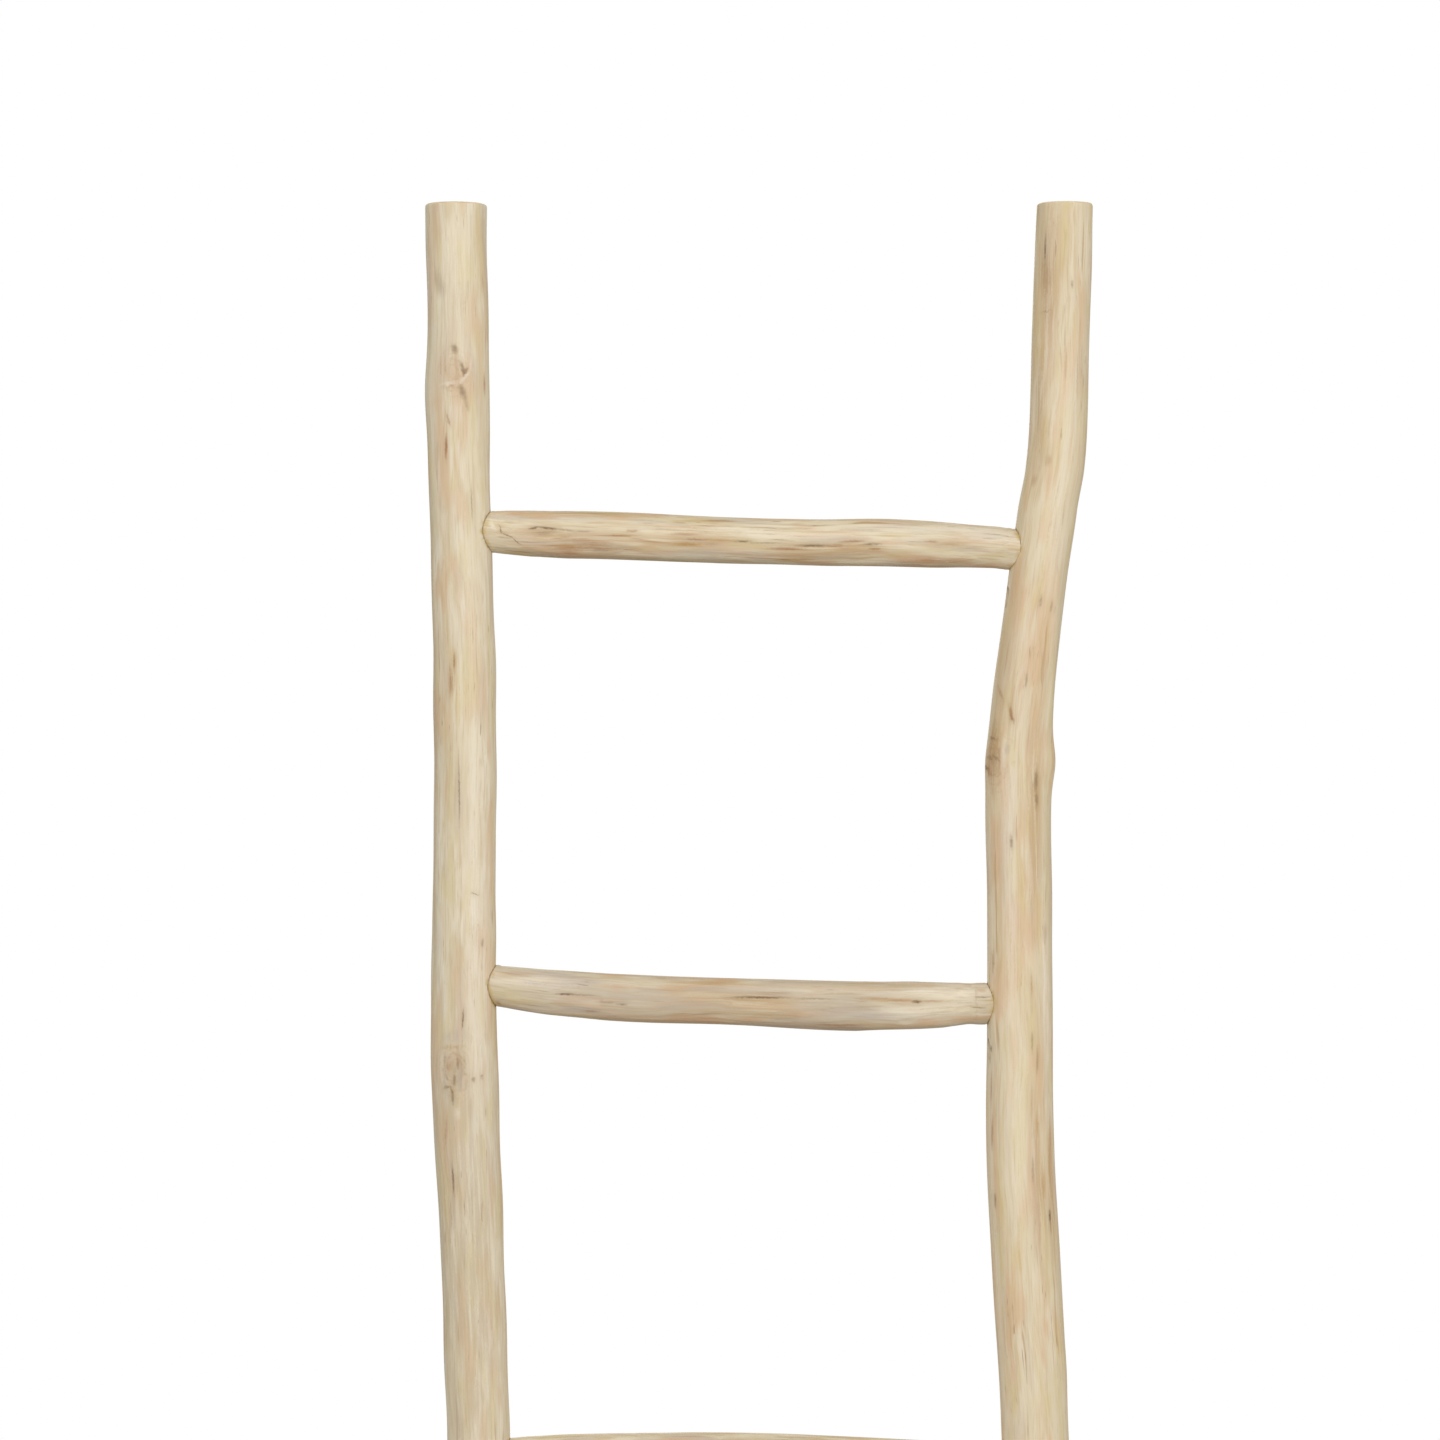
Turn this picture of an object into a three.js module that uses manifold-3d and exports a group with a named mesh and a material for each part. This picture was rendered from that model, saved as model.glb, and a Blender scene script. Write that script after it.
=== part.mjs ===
// Towel ladder of peeled branch wood. Two natural poles are the rails, and branch rungs with ends
// whittled round sit in blind mortises. A screw in an oblique pocket, bored up from the rail's inner
// face below the rung, holds each joint.
// Millimetres, +Z up, front towards -Y, +X to the viewer's right, feet on Z = 0.
import * as THREE from "three";
import { mergeVertices } from "three/addons/utils/BufferGeometryUtils.js";
import Module from "manifold-3d";

const wasm = await Module();
wasm.setup();

// Ladder
const rungCount = 5;
const rungPitch = 327;
const bottomEnd = 200; // floor to the lowest rung
const topEnd = 242; // top rung to the rails' tops
const railSpacing = 410; // between the rails' straight middle lines
const ladderHeight = bottomEnd + (rungCount - 1) * rungPitch + topEnd;

// Rails
const railDiameter = 46;
const railDeepening = 0.03; // how much deeper than wide a rail's section is, as a share
const railEndChamfer = 2;

// Rungs
const rungDiameter = 34;
const rungDeepening = 0.02;
const whittledLength = 58; // over which a rung swells from its tenon to its full girth
const swellPower = 2.5; // how quickly it swells

// Joints
const fitGap = 0.3; // left around whatever sits in a hole
const mortiseDiameter = 29.5;
const mortiseDepth = 30; // from the rail's inner face
const tenonChamfer = 1.5;
const tenonRadius = mortiseDiameter / 2 - fitGap;

// Pocket screws
const screwLength = 35; // under the head
const screwDiameter = 4;
const screwPoint = 5; // length of the tapered tip
const headDiameter = 7.5;
const headHeight = 2.6;
const headRim = 0.8; // height of the head's straight edge, under its dome
const headFlat = 4.6; // width of the flat on top of the dome
const pocketClearance = 0.5; // around the head
const screwAim = 21; // where it crosses the rung's middle line, inside the rail's inner face
const screwReach = 5; // the tip passes that line by this
const pocketDrop = 35.5; // from there down to the pocket's mouth
const leftPocketTurn = -22; // degrees towards the front; minus is towards the back
const rightPocketTurn = 12;

// Facets
const railSides = 20;
const rungSides = 16;
const screwSides = 10;
const railStep = 29; // between rings of facets
const rungStep = 36;

// Bends from the floor up. at is a share of the height, drift and depth are millimetres right of and
// behind the straight line, and girth is millimetres over railDiameter.
// A knot rises from the surface at turn degrees from +X, and fades over its size.
const leftRail = {
  side: -1,
  bends: [
    { at: 0, drift: -7.7, depth: 2, girth: 3 },
    { at: 0.09, drift: -11.7, depth: 1, girth: 2 },
    { at: 0.19, drift: -12.7, depth: -4, girth: 1 },
    { at: 0.3, drift: -6.7, depth: -6, girth: 1.5 },
    { at: 0.4, drift: 1.3, depth: -2, girth: 0.5 },
    { at: 0.49, drift: 2.8, depth: 4, girth: -0.2 },
    { at: 0.577, drift: -1.6, depth: 6, girth: 0.6 },
    { at: 0.637, drift: -5.9, depth: 4, girth: 2.2 },
    { at: 0.691, drift: -7, depth: 1, girth: 0.3 },
    { at: 0.76, drift: -6, depth: -2, girth: -0.6 },
    { at: 0.823, drift: -6.9, depth: -3, girth: -1.1 },
    { at: 0.891, drift: -10.5, depth: -2, girth: -1.2 },
    { at: 0.949, drift: -11.5, depth: 0, girth: -1.4 },
    { at: 1, drift: -13.3, depth: 2, girth: -0.4 },
  ],
  knots: [
    { at: 0.93, turn: -96, rise: 1.8, size: 15 },
    { at: 0.923, turn: 190, rise: 1.7, size: 26 },
    { at: 0.645, turn: -104, rise: 1.5, size: 17 },
    { at: 0.455, turn: 150, rise: 3, size: 18 },
    { at: 0.255, turn: -60, rise: 2.5, size: 17 },
    { at: 0.058, turn: 70, rise: 3, size: 20 },
  ],
};
const rightRail = {
  side: 1,
  bends: [
    { at: 0, drift: 2.3, depth: -3, girth: 5.5 },
    { at: 0.069, drift: -4.7, depth: -1, girth: 4 },
    { at: 0.149, drift: -10.7, depth: 3, girth: 4.5 },
    { at: 0.24, drift: -10.7, depth: 6, girth: 3 },
    { at: 0.331, drift: -4.7, depth: 5, girth: 2.5 },
    { at: 0.423, drift: -1.7, depth: 0, girth: 2 },
    { at: 0.503, drift: -6.7, depth: -5, girth: 3 },
    { at: 0.577, drift: -13.5, depth: -6, girth: 4 },
    { at: 0.629, drift: -16.7, depth: -4, girth: 2.4 },
    { at: 0.68, drift: -17, depth: -1, girth: 1.2 },
    { at: 0.754, drift: -18, depth: 2, girth: 0.8 },
    { at: 0.8, drift: -13.8, depth: 3, girth: -1.4 },
    { at: 0.84, drift: -5.4, depth: 3, girth: -3.2 },
    { at: 0.874, drift: 2.8, depth: 2, girth: -3.6 },
    { at: 0.891, drift: 8.4, depth: 2, girth: -3.7 },
    { at: 0.914, drift: 11.2, depth: 1, girth: -4 },
    { at: 0.966, drift: 13.5, depth: -1, girth: -4.4 },
    { at: 1, drift: 15.8, depth: -3, girth: -5.5 },
  ],
  knots: [
    { at: 0.7705, turn: 0, rise: 3, size: 17 },
    { at: 0.7705, turn: -142, rise: 2, size: 19 },
    { at: 0.52, turn: 60, rise: 3, size: 18 },
    { at: 0.352, turn: -75, rise: 2.5, size: 18 },
    { at: 0.168, turn: 10, rise: 3, size: 19 },
  ],
};

// Rungs from the floor up. leftRise and rightRise lift the ends off the even step; rises, depths and
// girths are millimetres off the straight line and over rungDiameter, at the even shares of the free
// length in rungShares. The collars are how far the straight tenon shows outside each rail.
const rungShares = [0.12, 0.31, 0.5, 0.69, 0.88];
const rungs = [
  {
    leftRise: 3,
    rightRise: -4,
    rises: [-2.4, -4.6, -5.5, -4.2, -2],
    depths: [1.5, 3, 3.5, 2.5, 1],
    girths: [0.6, 1.2, 1.5, 1, 0.4],
    collars: [3, 4],
  },
  {
    leftRise: -3,
    rightRise: 4,
    rises: [-1.2, -2.6, -2, -0.4, 0.8],
    depths: [-1, -3, -4, -2.4, -0.4],
    girths: [1, 0.4, -0.2, 0.6, 1.2],
    collars: [4, 3],
  },
  {
    leftRise: -8,
    rightRise: -13,
    rises: [1.8, 3.6, 4.6, 3.8, 1.6],
    depths: [0.8, 1.6, 0, -1.8, -1.4],
    girths: [-0.6, 0.4, 0.2, -0.4, -1],
    collars: [3, 5],
  },
  {
    leftRise: 6.4,
    rightRise: -6.5,
    rises: [-4.6, -6, -6, -6.1, -3.4],
    depths: [-1.6, -3.6, -4, -2.6, -0.8],
    girths: [-0.4, 0.6, 0, 1.8, 0.6],
    collars: [4, 11],
  },
  {
    leftRise: 6,
    rightRise: -6.3,
    rises: [-1.3, -1.4, -0.9, -0.2, 0.9],
    depths: [1, 2.8, 3.6, 2.6, 0.8],
    girths: [0.5, 0.1, -0.8, -0.2, 0.6],
    collars: [3, 3],
  },
];

const degrees = Math.PI / 180;
const clamp = THREE.MathUtils.clamp;

// Smooth curve through the stations: a cubic between neighbours, its slope at each station set by
// the stations on either side. Beyond the last stations it runs on straight.
function follow(stations, name, at) {
  const last = stations.length - 1;
  const slope = (i) => {
    const from = stations[Math.max(i - 1, 0)];
    const to = stations[Math.min(i + 1, last)];
    return (to[name] - from[name]) / (to.at - from.at);
  };
  if (at <= stations[0].at) return stations[0][name] + slope(0) * (at - stations[0].at);
  if (at >= stations[last].at) return stations[last][name] + slope(last) * (at - stations[last].at);
  const i = stations.findIndex((station) => station.at > at) - 1;
  const [from, to] = [stations[i], stations[i + 1]];
  const span = to.at - from.at;
  const t = (at - from.at) / span;
  const rise = to[name] - from[name];
  const bend = (1 - t) * (slope(i) * span - rise) - t * (slope(i + 1) * span - rise);
  return from[name] + t * rise + t * (1 - t) * bend;
}

// A closed round bar with a ring of facets at each of stations. place(station, angle) gives a point
// of a ring, and middle(station) the middle of an end cap.
function bar(sides, stations, place, middle) {
  const drum = new THREE.CylinderGeometry(1, 1, 1, sides, stations.length - 1);
  drum.deleteAttribute("normal");
  drum.deleteAttribute("uv");
  drum.rotateX(Math.PI / 2);
  const geometry = mergeVertices(drum);
  const points = geometry.attributes.position;
  for (let i = 0; i < points.count; i += 1) {
    const [u, v, w] = [points.getX(i), points.getY(i), points.getZ(i)];
    const station = stations[Math.round((w + 0.5) * (stations.length - 1))];
    const point = Math.hypot(u, v) < 0.5 ? middle(station) : place(station, Math.atan2(v, u));
    points.setXYZ(i, ...point);
  }
  return geometry;
}

function railAt(rail, height) {
  const at = height / ladderHeight;
  return {
    x: (rail.side * railSpacing) / 2 + follow(rail.bends, "drift", at),
    y: follow(rail.bends, "depth", at),
    radius: (railDiameter + follow(rail.bends, "girth", at)) / 2,
  };
}

function railRadius(rail, height, angle) {
  const { radius } = railAt(rail, height);
  const rises = rail.knots.map((knot) => {
    const along = height - knot.at * ladderHeight;
    const around = Math.sin((angle - knot.turn * degrees) / 2) * 2 * radius;
    return knot.rise * Math.exp(-(along ** 2 + around ** 2) / knot.size ** 2);
  });
  const round = radius * (1 + railDeepening * Math.sin(angle) ** 2);
  return rises.reduce((sum, rise) => sum + rise, round);
}

// A point on a rail's surface, or under it by inset.
function railPoint(rail, height, angle, inset = 0) {
  const { x, y } = railAt(rail, height);
  const reach = railRadius(rail, height, angle) - inset;
  return [x + reach * Math.cos(angle), y + reach * Math.sin(angle), height];
}

// Heights of a rail's rings: even steps, with more of them at each knot and at the chamfered ends.
function railRings(rail) {
  const steps = Math.round(ladderHeight / railStep);
  const wanted = [0, railEndChamfer, ladderHeight - railEndChamfer, ladderHeight];
  for (const knot of rail.knots) {
    for (const share of [-0.9, 0, 0.9]) wanted.push(knot.at * ladderHeight + share * knot.size);
  }
  for (let i = 1; i < steps; i += 1) {
    const height = (i * ladderHeight) / steps;
    if (wanted.every((other) => Math.abs(other - height) > railStep / 3)) wanted.push(height);
  }
  wanted.sort((a, b) => a - b);
  return wanted.filter((height, i) => i === 0 || height - wanted[i - 1] > railEndChamfer / 2);
}

function railSolid(rail) {
  const rings = railRings(rail);
  const place = (height, angle) => {
    const atEnd = height === rings[0] || height === rings[rings.length - 1];
    return railPoint(rail, height, angle, atEnd ? railEndChamfer : 0);
  };
  const middle = (height) => [railAt(rail, height).x, railAt(rail, height).y, height];
  return bar(railSides, rings, place, middle);
}

// One rung's line: the two points where it meets the rails' inner faces, and its bends between.
function rungLine(number) {
  const rung = rungs[number % rungs.length];
  const step = bottomEnd + number * rungPitch;
  const ends = [leftRail, rightRail].map((rail, i) => {
    const height = step + (i ? rung.rightRise : rung.leftRise);
    return new THREE.Vector3(...railPoint(rail, height, i ? Math.PI : 0));
  });
  const still = { rise: 0, depth: 0 };
  const middle = rungShares.map((at, i) => ({
    at,
    rise: rung.rises[i],
    depth: rung.depths[i],
    girth: rung.girths[i],
  }));
  const stations = [
    { at: 0, ...still, girth: rung.girths[0] },
    ...middle,
    { at: 1, ...still, girth: rung.girths[rung.girths.length - 1] },
  ];
  return { ends, stations, collars: rung.collars };
}

function rungAt({ ends: [left, right], stations, collars }, x) {
  const at = (x - left.x) / (right.x - left.x);
  const centre = left.clone().lerp(right, at);
  centre.y += follow(stations, "depth", at);
  centre.z += follow(stations, "rise", at);
  const bare = Math.min(x - left.x - collars[0], right.x - x - collars[1]);
  const swell = 1 - (1 - clamp(bare / whittledLength, 0, 1)) ** swellPower;
  const full = (rungDiameter + follow(stations, "girth", clamp(at, 0, 1))) / 2;
  return { centre, swell, radius: tenonRadius + (full - tenonRadius) * swell };
}

function rungSolid(line) {
  const [left, right] = line.ends;
  const tips = [left.x - mortiseDepth + fitGap, right.x + mortiseDepth - fitGap];
  const bare = [left.x + line.collars[0], right.x - line.collars[1]];
  const quick = [0.07, 0.16, 0.3, 0.5, 0.75, 1].map((share) => share * whittledLength);
  const inner = [bare[0] + whittledLength, bare[1] - whittledLength];
  const steps = Math.max(1, Math.round((inner[1] - inner[0]) / rungStep));
  const even = Array.from({ length: steps - 1 }, (_, i) => i + 1);
  const rings = [
    tips[0],
    tips[0] + tenonChamfer,
    bare[0],
    ...quick.map((length) => bare[0] + length),
    ...even.map((i) => inner[0] + (i * (inner[1] - inner[0])) / steps),
    ...quick.map((length) => bare[1] - length).reverse(),
    bare[1],
    tips[1] - tenonChamfer,
    tips[1],
  ];
  const place = (x, angle) => {
    const { centre, swell, radius } = rungAt(line, x);
    const atTip = x === tips[0] || x === tips[1];
    const deeper = 1 + rungDeepening * swell * Math.cos(angle) ** 2;
    const reach = radius * deeper - (atTip ? tenonChamfer : 0);
    return [x, centre.y + reach * Math.cos(angle), centre.z + reach * Math.sin(angle)];
  };
  return bar(rungSides, rings, place, (x) => rungAt(line, x).centre.toArray());
}

// The blind round mortise that a tenon sits in, as the solid that is cut away.
function mortiseSolid(line, end) {
  const face = line.ends[end];
  const outward = end ? 1 : -1;
  const xs = [face.x + outward * mortiseDepth, face.x - outward * mortiseDiameter].sort((a, b) => a - b);
  const slope = rungAt(line, face.x + outward).centre.sub(rungAt(line, face.x).centre);
  const centreAt = (x) => face.clone().addScaledVector(slope, (x - face.x) * outward);
  const place = (x, angle) => {
    const centre = centreAt(x);
    const reach = mortiseDiameter / 2;
    return [x, centre.y + reach * Math.cos(angle), centre.z + reach * Math.sin(angle)];
  };
  return bar(rungSides, xs, place, (x) => centreAt(x).toArray());
}

// Where a screw lies: its direction, from the pocket's mouth on the rail up to the rung's middle line,
// and the seat under its head.
function screwPlace(line, end) {
  const rail = end ? rightRail : leftRail;
  const aim = rungAt(line, line.ends[end].x + rail.side * screwAim).centre;
  const mouthHeight = aim.z - pocketDrop;
  const angle = end ? Math.PI + rightPocketTurn * degrees : -leftPocketTurn * degrees;
  const mouth = new THREE.Vector3(...railPoint(rail, mouthHeight, angle));
  const direction = aim.clone().sub(mouth).normalize();
  const seat = aim.clone().addScaledVector(direction, screwReach - screwLength);
  const turned = new THREE.Quaternion().setFromUnitVectors(THREE.Object3D.DEFAULT_UP, direction);
  return { seat, turned };
}

// A revolved solid from a profile of [radius, distance past the seat].
function revolve(profile) {
  const outline = profile.map(([radius, along]) => new THREE.Vector2(radius, along));
  return new THREE.LatheGeometry(outline, screwSides);
}

function screwSolid() {
  const shank = screwDiameter / 2;
  const head = headDiameter / 2;
  return revolve([
    [0, -headHeight],
    [headFlat / 2, -headHeight],
    [head, -headRim],
    [head, 0],
    [shank, 0],
    [shank, screwLength - screwPoint],
    [0, screwLength],
  ]);
}

// The pocket, its flat seat and the screw's own hole, as the solid that is cut away.
function pocketSolid() {
  const pocket = headDiameter / 2 + pocketClearance;
  const hole = screwDiameter / 2 + fitGap;
  return revolve([
    [0, -screwLength],
    [pocket, -screwLength],
    [pocket, fitGap],
    [hole, fitGap],
    [hole, screwLength - screwPoint + fitGap],
    [0, screwLength + 2 * fitGap],
  ]);
}

function solidOf(geometry) {
  const bare = geometry.clone();
  bare.deleteAttribute("normal");
  bare.deleteAttribute("uv");
  const merged = mergeVertices(bare);
  const vertProperties = new Float32Array(merged.attributes.position.array);
  const triVerts = new Uint32Array(merged.index.array);
  return new wasm.Manifold(new wasm.Mesh({ numProp: 3, vertProperties, triVerts }));
}

function geometryOf(solid) {
  const mesh = solid.getMesh();
  const geometry = new THREE.BufferGeometry();
  geometry.setAttribute("position", new THREE.BufferAttribute(mesh.vertProperties, mesh.numProp));
  geometry.setIndex(new THREE.BufferAttribute(mesh.triVerts, 1));
  geometry.computeVertexNormals();
  return geometry;
}

function node(name, geometry, finish) {
  const mesh = new THREE.Mesh(geometry, new THREE.MeshStandardMaterial(finish));
  mesh.name = name;
  return mesh;
}

const railFinish = { color: 0xd6c3a5, roughness: 0.72, metalness: 0 };
const rungFinish = { color: 0xcdb798, roughness: 0.68, metalness: 0 };
const screwFinish = { color: 0xb9b6ae, roughness: 0.35, metalness: 1 };

const pocket = pocketSolid();
const sideNames = ["left", "right"];
const railSolids = [leftRail, rightRail].map((rail) => solidOf(railSolid(rail)));
const ladder = new THREE.Group();

for (let number = 0; number < rungCount; number += 1) {
  const line = rungLine(number);
  let rung = solidOf(rungSolid(line));
  sideNames.forEach((sideName, end) => {
    const { seat, turned } = screwPlace(line, end);
    const placed = new THREE.Matrix4().compose(seat, turned, new THREE.Vector3(1, 1, 1));
    const cut = solidOf(pocket.clone().applyMatrix4(placed));
    railSolids[end] = railSolids[end].subtract(solidOf(mortiseSolid(line, end))).subtract(cut);
    rung = rung.subtract(cut);
    const screw = node(`screw_${number + 1}_${sideName}`, screwSolid(), screwFinish);
    screw.position.copy(seat);
    screw.quaternion.copy(turned);
    ladder.add(screw);
  });
  ladder.add(node(`rung_${number + 1}`, geometryOf(rung), rungFinish));
}
sideNames.forEach((sideName, end) => {
  ladder.add(node(`${sideName}_rail`, geometryOf(railSolids[end]), railFinish));
});

// The origin is on the floor, in the middle of the ladder's width and depth.
const middle = new THREE.Box3().setFromObject(ladder).getCenter(new THREE.Vector3());
ladder.position.set(-middle.x, -middle.y, 0);

const towelLadder = new THREE.Group();
towelLadder.add(ladder);

export default towelLadder;
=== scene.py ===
import math

import bpy
import numpy as np
from mathutils import Matrix, Vector


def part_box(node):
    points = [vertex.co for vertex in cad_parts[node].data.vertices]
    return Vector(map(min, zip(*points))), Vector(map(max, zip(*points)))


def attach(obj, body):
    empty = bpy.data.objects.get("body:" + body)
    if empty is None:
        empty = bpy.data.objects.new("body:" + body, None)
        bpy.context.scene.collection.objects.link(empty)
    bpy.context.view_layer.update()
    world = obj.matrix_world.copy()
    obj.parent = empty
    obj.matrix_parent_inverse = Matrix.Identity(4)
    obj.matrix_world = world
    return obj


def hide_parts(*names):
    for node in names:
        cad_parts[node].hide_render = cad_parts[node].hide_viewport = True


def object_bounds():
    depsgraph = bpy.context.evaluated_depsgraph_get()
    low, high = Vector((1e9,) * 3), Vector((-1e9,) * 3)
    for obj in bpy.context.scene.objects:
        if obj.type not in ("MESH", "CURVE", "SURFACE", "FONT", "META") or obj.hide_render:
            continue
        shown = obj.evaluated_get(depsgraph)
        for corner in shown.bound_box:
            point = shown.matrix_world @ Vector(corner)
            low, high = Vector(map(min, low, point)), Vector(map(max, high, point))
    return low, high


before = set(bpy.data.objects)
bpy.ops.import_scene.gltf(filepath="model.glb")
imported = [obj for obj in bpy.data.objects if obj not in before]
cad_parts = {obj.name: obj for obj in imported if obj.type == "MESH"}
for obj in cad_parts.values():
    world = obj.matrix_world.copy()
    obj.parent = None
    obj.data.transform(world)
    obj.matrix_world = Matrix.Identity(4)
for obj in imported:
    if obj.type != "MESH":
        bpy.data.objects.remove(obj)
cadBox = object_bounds()
print("frame loaded:", len(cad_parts), "nodes")

mm = 0.001
degree = math.pi / 180

# The ladder's sizes in millimetres, +Z up and the front towards -Y
ladder = {
    "height": 1750,
    "rungPitch": 327,
    "bottomEnd": 200,  # the lowest rung's line above the floor
    "railSpacing": 410,
    "railGirth": 46,
    "railDeeper": 0.03,  # share by which its section is deeper than wide
    "rungGirth": 34,
    "rungDeeper": 0.02,
    "mortiseGirth": 29.5,
    "mortiseDepth": 30,
    "fitGap": 0.3,
    "whittled": 58,  # length of a rung's taper
    "swellPower": 2.5,  # how soon the taper fills out
}


def ramp(value, low, high):
    # 0 below low, 1 above high, with a smooth S between them
    t = np.clip((value - low) / (high - low), 0, 1)
    return t * t * (3 - 2 * t)


def follow(at, values, where):
    # A cubic between neighbouring stations, its slope at each one set by the stations on either
    # side. Beyond the last stations it runs on straight.
    at, values, where = np.array(at, float), np.array(values, float), np.asarray(where, float)
    slope = np.empty(len(at))
    slope[1:-1] = (values[2:] - values[:-2]) / (at[2:] - at[:-2])
    slope[0] = (values[1] - values[0]) / (at[1] - at[0])
    slope[-1] = (values[-1] - values[-2]) / (at[-1] - at[-2])
    i = np.clip(np.searchsorted(at, where, side="right") - 1, 0, len(at) - 2)
    span, rise = at[i + 1] - at[i], values[i + 1] - values[i]
    t = (where - at[i]) / span
    bend = (1 - t) * (slope[i] * span - rise) - t * (slope[i + 1] * span - rise)
    inside = values[i] + t * rise + t * (1 - t) * bend
    below = values[0] + slope[0] * (where - at[0])
    above = values[-1] + slope[-1] * (where - at[-1])
    return np.where(where < at[0], below, np.where(where > at[-1], above, inside))


# Rails: at is a share of the height; drift right, depth to the back and girth over railGirth in mm.
# A knot is share of height, turn from +X, rise, size and how much of an eye it has. The bells of
# aside move the middle line to the right, those of grown add to the radius.
leftRail = {
    "node": "left_rail",
    "side": -1,
    "at": [0, 0.09, 0.19, 0.3, 0.4, 0.49, 0.577, 0.637, 0.691, 0.76, 0.823, 0.891, 0.949, 1],
    "drift": [-7.7, -11.7, -12.7, -6.7, 1.3, 2.8, -1.6, -5.9, -7, -6, -6.9, -10.5, -11.5, -13.3],
    "depth": [2, 1, -4, -6, -2, 4, 6, 4, 1, -2, -3, -2, 0, 2],
    "girth": [3, 2, 1, 1.5, 0.5, -0.2, 0.6, 2.2, 0.3, -0.6, -1.1, -1.2, -1.4, -0.4],
    "knots": [
        (0.93, -96, 1.8, 15, 0.2),
        (0.923, 190, 1.7, 26, 0),
        (0.645, -104, 1.5, 17, 0.45),
        (0.455, 150, 3, 18, 1),
        (0.255, -60, 2.5, 17, 1),
        (0.058, 70, 3, 20, 1),
    ],
    "seed": 11,
    "grainStart": 0,
    "aside": [(1098, 48, -0.85), (1190, 26, -0.75), (1228, 20, 0.4), (1444, 28, -0.65),
              (1624, 28, 0.5), (1696, 26, 0.35)],
    "grown": [(1140, 80, 0.45), (1302, 28, -0.35), (1405, 46, 0.42), (1510, 30, -0.3),
              (1696, 28, -0.35)],
}
rightRail = {
    "node": "right_rail",
    "side": 1,
    "at": [0, 0.069, 0.149, 0.24, 0.331, 0.423, 0.503, 0.577, 0.629, 0.68, 0.754, 0.8, 0.84,
           0.874, 0.891, 0.914, 0.966, 1],
    "drift": [2.3, -4.7, -10.7, -10.7, -4.7, -1.7, -6.7, -13.5, -16.7, -17, -18, -13.8, -5.4,
              2.8, 8.4, 11.2, 13.5, 15.8],
    "depth": [-3, -1, 3, 6, 5, 0, -5, -6, -4, -1, 2, 3, 3, 2, 2, 1, -1, -3],
    "girth": [5.5, 4, 4.5, 3, 2.5, 2, 3, 4, 2.4, 1.2, 0.8, -1.4, -3.2, -3.6, -3.7, -4, -4.4,
              -5.5],
    "knots": [
        (0.7705, 0, 3, 17, 0),
        (0.7705, -142, 2, 19, 0.35),
        (0.52, 60, 3, 18, 1),
        (0.352, -75, 2.5, 18, 1),
        (0.168, 10, 3, 19, 1),
    ],
    "seed": 23,
    "grainStart": 4000,
    "aside": [(1048, 40, -0.9), (1110, 40, -0.3), (1200, 26, 0.35), (1268, 46, 0.9),
              (1354, 30, -0.65), (1420, 34, 0.65), (1516, 24, 0.7)],
    "grown": [(1175, 36, 0.55), (1315, 32, 0.4), (1490, 130, 0.25), (1712, 36, 0.5)],
}
rails = [leftRail, rightRail]
railFinish = {
    "around": 96,  # points in a ring
    "step": 2,  # mm between rings
    "skin": 0.25,  # kept inside the plain form
    "edgeRound": 2,  # rounding of the sawn ends
    "endRings": (0, 0.18, 0.36, 0.54, 0.7, 0.84, 0.94),  # on a sawn end, shares of its radius
    "ripple": 0.22,
    "flats": 70,  # left by the drawknife
    "flatDepth": (0.12, 0.42),
    "flatLength": (60, 240),
    "deepest": 5,  # below the surface, where the depth is no longer told apart
    "jointShows": (2, 25),  # round a mortise, in its radii, and inside its mouth in mm
}
# A ripple's waves: their lobes round the branch, how many have each, and their lengths in mm
windings = {"lobes": (1, 2, 3, 4, 5, 7, 9), "each": 2, "length": (70, 420)}
widestFlat = 0.5  # cosine of how far a knife's flat reaches to either side


knotEye = {
    "share": 0.3,  # the eye's radius as a share of its knot's size; what follows is in this radius
    "flatter": 0.72,
    "dip": 1.1,  # mm
    "rim": 0.5,  # mm
    "rimAt": 1.9,
    "rimWidth": 0.5,
    "post": 1.5,  # what the fibres part round
    "wake": 0.5,
    "fades": (1.5, 2.2),  # where a knot's colours end, in its sizes
}


def bells(rows, where):
    # Slight swellings and hollows of the branch, in mm: each is a bell, given by where it stands,
    # its reach and its height, and gives height * e ^ -(distance / reach) ^ 2
    where = np.asarray(where, float)
    return sum((high * np.exp(-((where - at) / reach) ** 2) for at, reach, high in rows), 0 * where)


def railLine(rail, height):
    # Middle line and radius of a rail: the even spacing, the branch's bends, and its bells
    share = np.asarray(height, float) / ladder["height"]
    x = rail["side"] * ladder["railSpacing"] / 2 + follow(rail["at"], rail["drift"], share)
    y = follow(rail["at"], rail["depth"], share)
    radius = (ladder["railGirth"] + follow(rail["at"], rail["girth"], share)) / 2
    return x + bells(rail["aside"], height), y, radius + bells(rail["grown"], height)


def knotPlace(knot, radius, height, angle):
    # Distance from a knot's middle round the rail, as a chord, and along it, in mm
    share, turn = knot[:2]
    across = 2 * radius * np.sin((angle - turn * degree) / 2)
    return across, height - share * ladder["height"]


def plainRadius(rail, height, angle):
    # The rail's slightly deepened round section, radius * (1 + railDeeper * sine ^ 2 of the angle),
    # and each knot as a bell on it, rise * e ^ -(distance / size) ^ 2
    radius = railLine(rail, height)[2]
    total = radius * (1 + ladder["railDeeper"] * np.sin(angle) ** 2)
    for knot in rail["knots"]:
        rise, size = knot[2:4]
        across, along = knotPlace(knot, radius, height, angle)
        total = total + rise * np.exp(-(across ** 2 + along ** 2) / size ** 2)
    return total


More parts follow.
